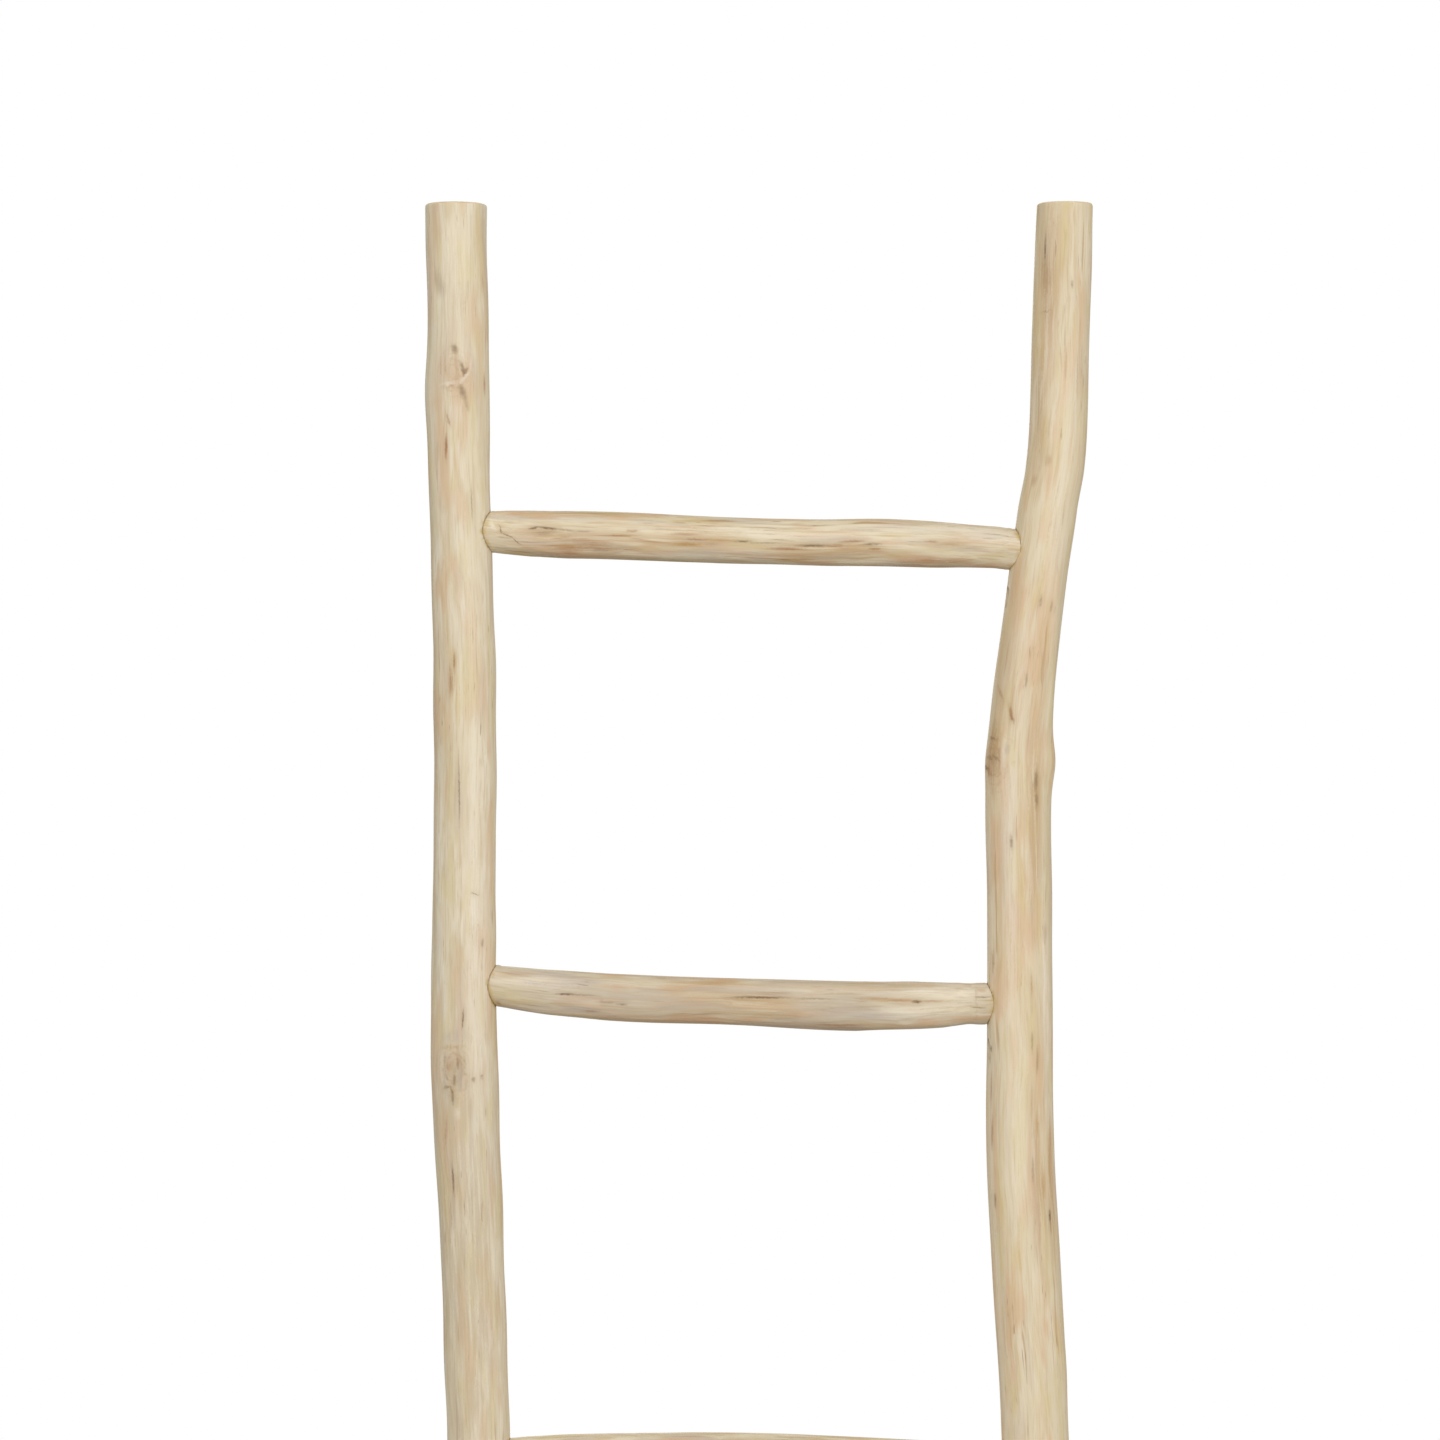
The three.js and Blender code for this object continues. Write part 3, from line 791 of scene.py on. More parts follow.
# Marks seen from the front, each a stroke between two places. On a rail a place is mm above the
# floor and mm right of the rail's middle line; on a rung, mm from the left rail and mm above the
# rung's middle line. Then come the stroke's half width, its strength and its kind.
strokeTints = {
    "cream": (233, 221, 197), "dusk": (192, 174, 147), "sand": (200, 172, 132),
    "clay": (192, 160, 128), "straw": (212, 194, 146), "mist": (203, 192, 174),
    "dark": (96, 68, 42), "grey": (126, 102, 76), "rust": (156, 104, 64), "tan": (172, 138, 98),
    "ochre": (178, 138, 82), "pink": (212, 184, 156), "lilac": (184, 168, 154),
    "pale": (236, 224, 208), "green": (188, 182, 136),
}
brushedKinds = ("rust", "tan", "ochre", "clay", "sand")
strokeEdge = (0.2, 1.6)  # where a stroke starts to fade and where it ends, as shares of its half size
strokeDepth = 7.0  # mm that a stroke reaches into the branch, at the least
broadFrom = 2.6  # half width of the narrowest of the broad strokes
halo = {"kinds": ("dark", "grey", "rust"), "wider": 2.4, "share": 0.3, "tint": "tan"}
leftStrokes = [
    (1140, -4, 850, -2, 30, 0.6, "dusk"),
    # Painted shade: darker along the rail's left edge, where the light falls off
    (1570, -22, 1290, -22, 4, 0.35, "dusk"),
    (1570, -22.8, 1290, -22.8, 3, 0.18, "grey"),
    (1700, 17, 1480, 17, 5, 0.35, "cream"),
    (1748, 3, 1655, 2, 9, 0.65, "cream"),
    (1745, -17, 1540, -17, 5, 0.7, "cream"),
    (1400, 0, 1250, 0, 7, 0.25, "sand"),
    (1510, -21, 1430, -21, 4, 0.6, "sand"),
    (1375, -21, 1270, -21, 4, 0.7, "sand"),
    (1310, 22, 860, 22, 3.5, 0.6, "sand"),
    (1290, 17, 1150, 17, 4.5, 0.6, "pale"),
    (1748, 17.5, 1690, 18, 5, 0.7, "straw"),
    (1745, -14, 1700, -13, 6, 0.4, "pink"),
    (1640, -12, 1606, -11, 8, 0.4, "pink"),
    (1690, 16, 1560, 16, 4, 0.35, "sand"),
    (1590, 9, 1390, 8, 8, 0.55, "cream"),
    (1590, -11, 1330, -10, 6, 0.4, "sand"),
    (1380, 4, 1260, 3, 7, 0.35, "cream"),
    (1345, 9, 1110, 9, 7, 0.65, "pale"),
    (1330, 18, 1190, 18, 4, 0.35, "sand"),
    (1180, -8, 1080, -6, 9, 0.4, "mist"),
    (1100, -17, 990, -18, 4.5, 0.5, "sand"),
    (1065, 5, 1000, 6, 8, 0.4, "mist"),
    (1699, 18.4, 1684, 18.8, 1.0, 0.5, "rust"),
    (1698, -13, 1690, -12, 4.2, 0.24, "grey"),
    (1690, -9.6, 1684, -9.6, 2.8, 0.3, "grey"),
    (1661, -3, 1652, -3, 4.5, 0.4, "pink"),
    (1645, -2, 1643, -1, 2.2, 0.6, "grey"),
    (1633, 2.6, 1626, 4.9, 1.6, 0.7, "grey"),
    (1627, 4.9, 1630, 6.9, 1.0, 0.55, "dark"),
    (1617, 2.2, 1609, 5.3, 2.3, 0.6, "grey"),
    (1608, 5.8, 1601, 7.6, 1.2, 0.35, "grey"),
    (1640, -8, 1626, -7.4, 0.9, 0.35, "tan"),
    (1638, -11.5, 1625, -10.6, 0.7, 0.3, "tan"),
    (1616.6, -9, 1616.8, -1, 1.2, 0.35, "tan"),
    (1641, -1, 1634, 1, 3, 0.3, "tan"),
    (1624, 18.7, 1614, 18.8, 1.3, 0.6, "rust"),
    (1619, -9.8, 1619.6, 1.1, 1.5, 0.6, "pale"),
    (1619.6, 1.1, 1627.6, 8.5, 1.4, 0.6, "pale"),
    (1627.6, 8.5, 1637, 9.9, 1.2, 0.4, "pale"),
    (1638, -7, 1624, -6, 5.5, 0.45, "pink"),
    (1606, -15, 1599, -12, 3.2, 0.35, "pink"),
    (1597, -7, 1590, -5.2, 0.8, 0.7, "rust"),
    (1582, -7.6, 1567, -8, 1.0, 0.8, "rust"),
    (1545, 9.4, 1522, 9.4, 0.6, 0.4, "grey"),
    (1425, -5.8, 1416, -6.2, 0.9, 0.6, "rust"),
    (1422, -6.6, 1400, -8.8, 3, 0.45, "ochre"),
    (1412, -8.2, 1400, -8.8, 1.5, 0.5, "rust"),
    (1349, -3.4, 1306, -2.8, 0.55, 0.6, "dark"),
    (1254.6, 6.5, 1253.8, 10.5, 0.6, 0.6, "dark"),
    (1252, -19.6, 1243, -17.7, 2.6, 0.4, "green"),
    (1248, 7.4, 1236, 7.4, 3.4, 0.5, "pale"),
    (1221, 13.8, 1217, 13.8, 1.1, 0.5, "grey"),
    (1170, 1, 1159, -0.2, 0.6, 0.75, "dark"),
    (1152, -10, 1153, -1, 4, 0.4, "lilac"),
    (1144, -12.5, 1145, -0.8, 1.6, 0.5, "ochre"),
    (1140, -9.6, 1137, -3.8, 3.2, 0.45, "pink"),
    (1142, -8, 1139, -3.6, 0.8, 0.45, "tan"),
    (1139, -3.6, 1130, -3, 0.8, 0.4, "tan"),
    (1140, -12, 1126, -13, 0.8, 0.4, "tan"),
    (1126, -13, 1120, -9, 0.8, 0.4, "tan"),
    (1151, 10.6, 1129, 8.8, 5.5, 0.45, "pale"),
    (1136, -9.5, 1128, -8.6, 3.2, 0.4, "clay"),
    (1132, -8.8, 1129, -9, 1.7, 0.6, "rust"),
    (1136, -3.1, 1131, -3.2, 1.1, 0.6, "grey"),
    (1124, -5.6, 1118, -5.7, 1.1, 0.6, "grey"),
    (1128, -1.2, 1113, -2.2, 3, 0.5, "lilac"),
    (1113, -7.5, 1105, -7.3, 1.1, 0.65, "dark"),
    (1115, -13.1, 1116.4, -8.8, 0.9, 0.55, "grey"),
    (1116.4, -8.8, 1113, -7.5, 0.9, 0.55, "grey"),
    (1122, 7.3, 1121, 7.2, 1.4, 0.5, "grey"),
    (1124, 12.9, 1123, 12.9, 1.2, 0.5, "grey"),
    (1099, -4.2, 1095, -4.3, 2.2, 0.45, "pale"),
    (1092, -12.5, 1077, -13.9, 1.2, 0.55, "rust"),
    (1058, -10.4, 1040, -10.5, 0.8, 0.7, "dark"),
    (1032, -13.1, 1012, -14, 1.3, 0.5, "rust"),
    (1032, 9.2, 1016, 8.5, 1, 0.35, "rust"),
]
rightStrokes = [
    (1740, 16, 1010, 17, 5.5, 0.4, "cream"),
    (1748, -15, 1600, -15, 7, 0.65, "sand"),
    (1745, -9, 1635, -9, 6, 0.6, "clay"),
    (1460, -16, 1400, -16, 5, 0.5, "cream"),
    (1745, -21, 1690, -21, 4, 0.6, "cream"),
    (1640, -21, 1560, -21, 4, 0.5, "sand"),
    (1535, -21, 1440, -20, 4, 0.6, "cream"),
    (1350, -22, 860, -22, 5, 0.8, "cream"),
    (1350, -9, 1180, -9, 6.5, 0.6, "pale"),
    (1345, 9.5, 1240, 9.5, 6, 0.65, "clay"),
    (1232, 17, 1150, 17, 5, 0.7, "pale"),
    (1090, 9, 1000, 9, 7, 0.7, "clay"),
    (1090, 20, 990, 20, 4, 0.6, "ochre"),
    (1690, -18, 1640, -18, 4, 0.4, "straw"),
    (1670, 4, 1500, 5, 9, 0.5, "cream"),
    (1600, -14, 1545, -14, 6, 0.45, "sand"),
    (1545, 6, 1470, 7, 11, 0.45, "cream"),
    (1500, -15, 1380, -14, 6, 0.45, "sand"),
    (1460, -5, 1385, -5, 9, 0.4, "pink"),
    (1412, 11, 1285, 12, 6.5, 0.6, "sand"),
    (1450, 19, 1240, 19, 3, 0.45, "straw"),
    (1290, -14, 1190, -15, 6, 0.35, "sand"),
    (1190, -3, 1000, -4, 11, 0.45, "cream"),
    (1140, 14, 1010, 15, 6, 0.4, "sand"),
    (1725, -14.1, 1707, -14.1, 0.9, 0.65, "dark"),
    (1707, -13.7, 1688, -13.7, 3.8, 0.5, "tan"),
    (1692, 5.7, 1688.5, 5.7, 1, 0.45, "grey"),
    (1671, -15, 1671.4, -10, 0.6, 0.4, "grey"),
    (1640, 11.3, 1613, 11.3, 0.6, 0.4, "rust"),
    (1637, -15, 1594, -15, 4.2, 0.4, "tan"),
    (1566, -6.4, 1563, -6.4, 2.4, 0.4, "tan"),
    (1552, -14.5, 1549, -14.5, 2.6, 0.45, "tan"),
    # At the top rung's screw pocket: a painted highlight, painted shade in the hole's mouth, and a
    # painted highlight below it
    (1476, -20.4, 1474, -20.4, 1.5, 0.85, "pale"),
    (1472.6, -20.6, 1471.2, -20.6, 1.2, 0.8, "dark"),
    (1469.5, -20.8, 1459, -20.8, 1.8, 0.8, "pale"),
    (1467, 3.1, 1460, 3.1, 1, 0.45, "grey"),
    (1463, 11.1, 1457, 11.1, 1, 0.4, "grey"),
    (1411, -0.7, 1403, -0.7, 1, 0.4, "grey"),
    (1403, -20, 1394, -16, 1.4, 0.45, "rust"),
    (1389.5, -11.2, 1378.6, -7.2, 1.7, 0.6, "rust"),
    (1382, -8.6, 1377, -6.6, 0.8, 0.4, "dark"),
    (1380, 14.5, 1360, 14.5, 0.9, 0.4, "ochre"),
    (1440, -19, 1396, -17, 6, 0.35, "clay"),
    (1398, -19, 1374, -18, 5, 0.4, "clay"),
    (1374, -20, 1362, -18, 6, 0.55, "tan"),
    (1366, -21, 1364.4, -17, 1.1, 0.55, "grey"),
    (1362, -19, 1344, -19, 6, 0.65, "tan"),
    (1360, -14.5, 1352, -14, 1, 0.5, "tan"),
    (1364, -11.4, 1346, -11.4, 2.4, 0.5, "pale"),
    (1360, -9.6, 1355, -9.4, 2, 0.45, "lilac"),
    (1353, -18.5, 1350, -14.5, 1.1, 0.55, "grey"),
    (1352, -22, 1351, -18, 1, 0.45, "grey"),
    (1345, -23, 1344, -21, 1.3, 0.6, "dark"),
    (1343, -20.6, 1339.5, -20, 2.2, 0.65, "rust"),
    (1338, -19, 1326, -18.5, 4, 0.35, "clay"),
    (1345, 11.8, 1312, 11.9, 2.6, 0.35, "tan"),
    (1340, 11.7, 1330, 11.7, 1.5, 0.55, "grey"),
    (1325, 12.2, 1318, 12.2, 1.4, 0.5, "grey"),
    (1295, -6.7, 1288, -6.5, 1, 0.6, "grey"),
    (1230, 17.3, 1222, 17.3, 2.6, 0.4, "tan"),
    (1213, -19.4, 1199, -19.8, 1.3, 0.65, "rust"),
    (1195, -19.4, 1191, -19, 1.6, 0.5, "pink"),
    (1196, 6.7, 1182, 6.7, 0.7, 0.4, "rust"),
    (1180, -20, 1174, -20, 2.4, 0.5, "ochre"),
    (1154, 7.3, 1143, 7.3, 0.9, 0.45, "grey"),
    # At the next rung's screw pocket: a painted highlight above painted shade in the hole's mouth
    (1148, -21.6, 1146, -21.6, 1.3, 0.7, "pale"),
    (1143.8, -21.5, 1142.4, -21.5, 1.2, 0.8, "dark"),
    (1140, -22.4, 1134, -22.4, 1.2, 0.5, "grey"),
    (1143, 11, 1128, 11, 1, 0.4, "grey"),
    (1124, -21.4, 1104, -21.6, 0.9, 0.55, "rust"),
    (1116, 7.1, 1089, 6.6, 0.7, 0.45, "rust"),
    (1093, 10.4, 1083, 10.1, 2.2, 0.4, "ochre"),
    (1092, -20.6, 1073, -21.1, 1.3, 0.5, "rust"),
    (1092, 21, 1055, 19.6, 2, 0.35, "tan"),
    (1065, 7.3, 1049, 6.6, 1, 0.4, "grey"),
    (1055, 15, 1038, 14.3, 1.4, 0.45, "ochre"),
    (1038, -20.4, 1031, -20.6, 1.3, 0.6, "grey"),
    (1027, 18.3, 1020, 18, 1.3, 0.75, "dark"),
    (1020, 18.8, 1012, 18.4, 1.1, 0.55, "rust"),
]
topRungStrokes = [
    (6, 0, 84, 0, 5, 0.6, "clay"),
    (100, 1, 300, 1, 7, 0.3, "cream"),
    (212, -6, 292, -6, 5, 0.5, "tan"),
    (312, 0, 352, 0.5, 4, 0.5, "tan"),
    (40, -14.5, 112, -15, 3, 0.75, "clay"),
    (46, -10, 96, -9.5, 3, 0.7, "tan"),
    (70, 7, 100, 7, 4, 0.5, "sand"),
    (140, 6, 240, 6, 5, 0.35, "pale"),
    (283, 12, 384, 12, 5, 0.5, "pale"),
    (344, 6, 384, 6, 6, 0.45, "pale"),
    (20, -8.5, 92, -9.5, 6, 0.6, "clay"),
    (50, 14.5, 120, 14.5, 3.5, 0.5, "sand"),
    (20, 6, 115, 7, 6, 0.35, "cream"),
    (130, 7, 262, 7, 5.5, 0.55, "cream"),
    (125, -2, 172, -2.5, 6, 0.4, "sand"),
    (110, -11.5, 200, -11, 5, 0.5, "mist"),
    (200, -7, 290, -8, 6, 0.35, "sand"),
    (284, 3, 332, 4, 9, 0.5, "cream"),
    (290, -12, 348, -12, 4.5, 0.55, "clay"),
    (6, 4, 9, -1.5, 0.55, 0.65, "dark"),
    (9, -1.5, 15, -4, 0.5, 0.6, "dark"),
    (15, -4, 21, -8.6, 0.5, 0.55, "dark"),
    (0.5, 6, 2, 2.5, 1.6, 0.6, "pale"),
    (15, -7.5, 61, -5.1, 5, 0.45, "pink"),
    (28, 3.3, 34, 4.6, 0.8, 0.8, "dark"),
    (34, 4.6, 47, 3.6, 0.9, 0.8, "dark"),
    (32, 0.6, 47, 1.4, 0.6, 0.5, "grey"),
    (32, -0.8, 44, -0.2, 0.5, 0.4, "grey"),
    (44, -13.6, 61, -13.5, 1.6, 0.5, "rust"),
    (49, 3.7, 60, 2.3, 0.7, 0.5, "grey"),
    (60, 2, 72, 2.4, 0.7, 0.4, "grey"),
    (49, -8.4, 82, -7.2, 1.7, 0.65, "ochre"),
    (49, -10.5, 62, -10, 0.9, 0.5, "rust"),
    (49, 15.3, 92, 16, 1.5, 0.5, "tan"),
    (72, -11, 88, -10.5, 1.1, 0.5, "rust"),
    (82, -0.8, 102, -0.2, 0.8, 0.6, "rust"),
    (98, 3.6, 105, 3.8, 1, 0.6, "rust"),
    (107, 9.2, 118, 9.6, 1, 0.55, "tan"),
    (129, 2.3, 150, 2.9, 1, 0.6, "tan"),
    (130, -1.3, 159, -0.5, 0.9, 0.7, "rust"),
    (130, -5, 151, -4.4, 1.3, 0.8, "ochre"),
    (137, -11.2, 168, -10.3, 3, 0.45, "lilac"),
    (151, -4.4, 163, -4.1, 1, 0.5, "ochre"),
    (153, 13, 175, 13.7, 1.3, 0.5, "tan"),
    (159, -1, 175, -0.6, 0.9, 0.7, "rust"),
    (175, -1.3, 186, -1.1, 0.7, 0.7, "dark"),
    (186, -2.1, 208, -1.6, 0.6, 0.45, "grey"),
    (199, -6.1, 223, -5.5, 1, 0.6, "rust"),
    (204, -13.3, 229, -12.7, 1.3, 0.55, "rust"),
    (221, -3.2, 240, -2.8, 0.9, 0.7, "dark"),
    (227, 11.2, 233, 11.4, 1, 0.5, "tan"),
    (242, -3, 255, -2.7, 0.8, 0.6, "rust"),
    (252, 0.1, 266, 0.4, 0.8, 0.6, "rust"),
    (262, 8.3, 279, 8.5, 1.3, 0.5, "lilac"),
    (269, -1.7, 279, -1.6, 0.9, 0.6, "dark"),
    (272, -5.2, 279, -5.2, 0.8, 0.6, "rust"),
    (278, 16, 292, 16.2, 1.4, 0.5, "lilac"),
    (301, -12.6, 338, -11.7, 1.4, 0.6, "rust"),
    (313, 1.3, 320, 1.5, 1, 0.5, "rust"),
    (323, 0.3, 340, 0.9, 1.4, 0.6, "tan"),
    (377, 10.5, 381, 10.6, 2, 0.55, "ochre"),
]
nextRungStrokes = [
    (0, 7, 50, 7, 9, 0.55, "pale"),
    (0, -3, 40, -2, 6, 0.4, "straw"),
    (100, 0, 230, 0, 7, 0.75, "clay"),
    (58, -14, 145, -15, 4, 0.8, "clay"),
    (175, 12, 300, 12, 4.5, 0.4, "pale"),
    (300, 12, 352, 11, 7, 0.7, "pale"),
    (36, -1, 132, 1, 9, 0.55, "mist"),
    (60, -13.5, 285, -14.5, 4, 0.6, "clay"),
    (132, 0, 215, -2, 11, 0.45, "sand"),
    (90, 13, 330, 13, 3.5, 0.4, "sand"),
    (218, -2, 262, -1, 7, 0.5, "mist"),
    (284, -5, 332, -4, 7, 0.5, "cream"),
    (318, 5, 343, 3, 12, 0.5, "cream"),
    (1, 8.2, 25, 12.1, 3, 0.4, "ochre"),
    (2, -11.2, 3, -12.5, 1.3, 0.7, "rust"),
    (20, -2, 60, -1, 5.5, 0.4, "lilac"),
    (46, 0, 56, 0.7, 0.9, 0.7, "dark"),
    (56, 0.7, 73, 1.1, 0.6, 0.45, "grey"),
    (64, -11.1, 73, -10.6, 1.3, 0.5, "rust"),
    (74, -10.5, 107, -8.8, 2.6, 0.5, "pink"),
    (74, -3.1, 86, -2.5, 0.8, 0.5, "rust"),
    (80, 1, 112, 2, 5, 0.35, "lilac"),
    (89, -3.8, 94, -3.6, 0.8, 0.55, "grey"),
    (126, 13.6, 170, 14.6, 1.8, 0.5, "ochre"),
    (169, 3.7, 207, 5.2, 0.8, 0.75, "dark"),
    (176, 6.7, 210, 8.2, 1.3, 0.5, "tan"),
    (187, -9.4, 217, -8.7, 2.2, 0.55, "ochre"),
    (217, 5.1, 241, 5.9, 0.6, 0.45, "grey"),
    (222, 1.7, 258, 2.4, 5, 0.45, "lilac"),
    (234, -13.4, 264, -13, 1.4, 0.6, "rust"),
    (243, 15, 247, 15.1, 1.3, 0.5, "green"),
    (258, 6.6, 283, 6.6, 0.9, 0.6, "rust"),
    (283, 5.1, 298, 4.9, 0.9, 0.55, "rust"),
    (283, -3.4, 317, -4.1, 4.8, 0.45, "pale"),
    (300, 3.9, 304, 3.8, 1.1, 0.8, "dark"),
    (306, 4.1, 321, 3.6, 0.8, 0.5, "rust"),
    (310, 14.6, 314, 14.5, 1.3, 0.5, "green"),
    (342, -1.8, 352, -2.3, 0.5, 0.5, "dark"),
    (344, 5.6, 356, 5.1, 0.55, 0.6, "dark"),
    # Painted shade: a vertical shadow line across the rung near its right end
    (345, 10.6, 345, -9.4, 0.9, 0.35, "tan"),
    (346, 10.2, 351, 10, 1.8, 0.5, "ochre"),
]

# Tones that all the branches share, 0 to 255. The gap tone is painted shade, a dark line in place of
# the shadow in a joint's seam
woodTones = {"cut": (222, 202, 168), "year": (184, 154, 116), "knot": (170, 132, 96),
             "lip": (120, 92, 64), "glue": (196, 172, 118), "gap": (124, 94, 62),
             # the bores' tone: their own paler fresh-cut wood, made paler still by a painted highlight
             "bored": (232, 218, 196)}

# How a branch is coloured: a ground tone, then layers of noise drawn out along the grain. A layer is
# its tint, its share, features per mm across and along, detail, and where it sets in and is full.
# Streaks lie only inside areas of their own, which set in at the last number.
leftRailLook = {
    "ground": (221, 208, 182),
    "layers": [
        ((230, 220, 200), 0.85, 0.1, 0.009, 3, 0.42, 0.6),
        ((208, 188, 154), 0.55, 0.055, 0.018, 3, 0.5, 0.68),
        ((215, 184, 152), 0.68, 0.08, 0.014, 2, 0.5, 0.64),
        ((216, 200, 154), 0.5, 0.1, 0.02, 2, 0.51, 0.64),
        ((207, 193, 176), 0.45, 0.08, 0.014, 2, 0.53, 0.66),
        ((198, 175, 140), 0.4, 0.5, 0.018, 3, 0.49, 0.66),
        ((184, 160, 124), 0.27, 1.1, 0.04, 2, 0.52, 0.72),
    ],
    "streaks": [
        ((176, 142, 102), 0.5, 0.34, 0.012, 2, 0.63, 0.71, 0.48),
        ((140, 106, 68), 0.6, 0.75, 0.045, 2, 0.66, 0.74, 0.5),
    ],
}
rightRailLook = {
    "ground": (220, 205, 177),
    "layers": [
        ((228, 213, 189), 0.8, 0.1, 0.009, 3, 0.43, 0.62),
        ((208, 184, 146), 0.6, 0.06, 0.011, 3, 0.48, 0.66),
        ((216, 182, 147), 0.68, 0.08, 0.014, 2, 0.5, 0.64),
        ((214, 196, 148), 0.5, 0.1, 0.02, 2, 0.51, 0.64),
        ((207, 192, 172), 0.4, 0.08, 0.014, 2, 0.54, 0.67),
        ((199, 173, 134), 0.4, 0.5, 0.016, 3, 0.49, 0.66),
        ((184, 158, 120), 0.27, 1.1, 0.04, 2, 0.52, 0.72),
    ],
    "streaks": [
        ((176, 142, 102), 0.5, 0.3, 0.011, 2, 0.62, 0.7, 0.47),
        ((140, 106, 68), 0.6, 0.75, 0.045, 2, 0.66, 0.74, 0.5),
    ],
}
creamRungLook = {
    "ground": (216, 202, 174),
    "layers": [
        ((227, 213, 187), 0.85, 0.13, 0.012, 3, 0.42, 0.58),
        ((199, 172, 132), 0.6, 0.1, 0.016, 3, 0.49, 0.66),
        ((208, 169, 135), 0.7, 0.1, 0.018, 2, 0.5, 0.64),
        ((204, 184, 132), 0.5, 0.12, 0.02, 2, 0.52, 0.65),
        ((199, 187, 173), 0.6, 0.11, 0.016, 2, 0.52, 0.66),
        ((182, 154, 116), 0.45, 0.45, 0.016, 3, 0.5, 0.66),
        ((174, 148, 114), 0.32, 1.1, 0.04, 2, 0.52, 0.72),
    ],
    "streaks": [
        ((168, 126, 84), 0.6, 0.42, 0.016, 2, 0.59, 0.68, 0.47),
        ((132, 96, 60), 0.7, 0.8, 0.035, 2, 0.63, 0.72, 0.48),
    ],
}
greyRungLook = {
    "ground": (205, 192, 168),
    "layers": [
        ((217, 203, 180), 0.85, 0.1, 0.011, 3, 0.43, 0.6),
        ((192, 166, 130), 0.55, 0.09, 0.014, 3, 0.49, 0.66),
        ((203, 166, 132), 0.68, 0.11, 0.018, 2, 0.5, 0.65),
        ((196, 180, 138), 0.4, 0.13, 0.02, 2, 0.54, 0.67),
        ((190, 177, 165), 0.7, 0.09, 0.012, 2, 0.5, 0.64),
        ((176, 149, 114), 0.4, 0.45, 0.016, 3, 0.5, 0.67),
        ((168, 143, 110), 0.32, 1.1, 0.04, 2, 0.52, 0.72),
    ],
    "streaks": [
        ((162, 124, 88), 0.5, 0.42, 0.016, 2, 0.6, 0.69, 0.48),
        ((130, 98, 66), 0.65, 0.8, 0.035, 2, 0.64, 0.73, 0.49),
    ],
}


def onRail(rail, height, across):
    # From a place seen from the front to the branch's own coordinates
    radius = float(railLine(rail, height)[2])
    return Vector((across, -math.sqrt(max(radius ** 2 - across ** 2, 1)), height))


def onRung(number, along, offset):
    line = rungLine(number)
    x = line["ends"][0][0] + along
    radius = float(rungAt(line, np.array(x))[2])
    outward = -math.sqrt(max(radius ** 2 - offset ** 2, 1))
    return Vector((outward, offset, x + rungFinish["grainStep"] * number))


def strokeShape(start, end, halfWidth):
    # A stroke is a long blob that lies along its own line: its middle, its axes (sideways, outward
    # and along) and its half size along each
    middle, along = (start + end) / 2, (end - start).normalized()
    outward = Vector((middle.x, middle.y, 0))
    outward = (outward - along * outward.dot(along)).normalized()
    halfLength = (end - start).length / 2 + halfWidth
    return middle, Matrix((outward.cross(along), outward, along)), (
        halfWidth, max(halfWidth, strokeDepth), halfLength)


def layWashes(mesh, strokes):
    # Broad strokes and the stained wood round the dark marks, one over another on the points
    # themselves: the tints, each weighed by what it covers, and how much all of them cover
    place = np.empty(len(mesh.vertices) * 3, np.float32)
    mesh.attributes["place"].data.foreach_get("vector", place)
    place = place.reshape(-1, 3).astype(float)
    laid = np.zeros((len(place), 4))
    for start, end, halfWidth, strength, kind in strokes:
        if halfWidth < broadFrom and kind not in halo["kinds"]:
            continue
        if halfWidth < broadFrom:
            halfWidth, strength = halfWidth + halo["wider"], strength * halo["share"]
            kind = halo["tint"]
        middle, axes, sizes = strokeShape(start, end, halfWidth)
        away = np.linalg.norm((place - np.array(middle)) @ np.array(axes).T / sizes, axis=1)
        share = (strength * (1 - ramp(away, *strokeEdge)))[:, None]
        laid = laid * (1 - share) + share * np.array(shade(*strokeTints[kind]))
    layer = mesh.attributes.new("wash", "FLOAT_COLOR", "POINT")
    layer.data.foreach_set("color", laid.astype(np.float32).ravel())


def markNodes(tree, place, strokes):
    # The narrow strokes of each kind, the strongest at each place
    strengths = {}
    for start, end, halfWidth, strength, kind in strokes:
        if halfWidth >= broadFrom:
            continue
        middle, axes, sizes = strokeShape(start, end, halfWidth)
        local = node(tree, "Mapping", {
            "Vector": place, "Location": middle, "Rotation": axes.transposed().to_euler(),
            "Scale": sizes}, vector_type="TEXTURE").outputs[0]
        spot = fade(tree, vectors(tree, "LENGTH", local), *strokeEdge, strength, 0.0)
        there = strengths.get(kind)
        strengths[kind] = spot if there is None else maths(tree, "MAXIMUM", there, spot)
    return strengths


# Where two numbers stand for a fade, it goes from nothing to all between them; where four do, the
# last two are what it gives at its ends.
woodFinish = {
    "swayScale": 0.012,
    "sway": (9, 9, 0),  # mm
    "roughScale": 0.4,
    "areaScale": (0.05, 0.011),  # of the areas that streaks lie in
    "areaSoft": 0.1,
    "streakDent": 0.9,
    "darkDent": 1.5,
    "ragged": (1.3, 1.3, 5),  # mm, of the marks' edges
    "patchy": (0.3, 0.62, 0.62, 1.0),
    "brushScale": (0.5, 0.02),
    "brushed": (0.4, 0.58, 0.4, 1.0),
    # painted shade: where below a rung's middle line its underside darkens, and how much
    "undersideShade": (-16.8, -12.5, 0.35, 0.0),  # mm below a rung's middle line
    "roughness": (0.3, 0.75, 0.7, 0.86),
    "specular": 0.16,
    "bump": 0.8,
    "bumpHeight": 0.00025,  # metres
}
seamSpots = 0.13  # features per mm
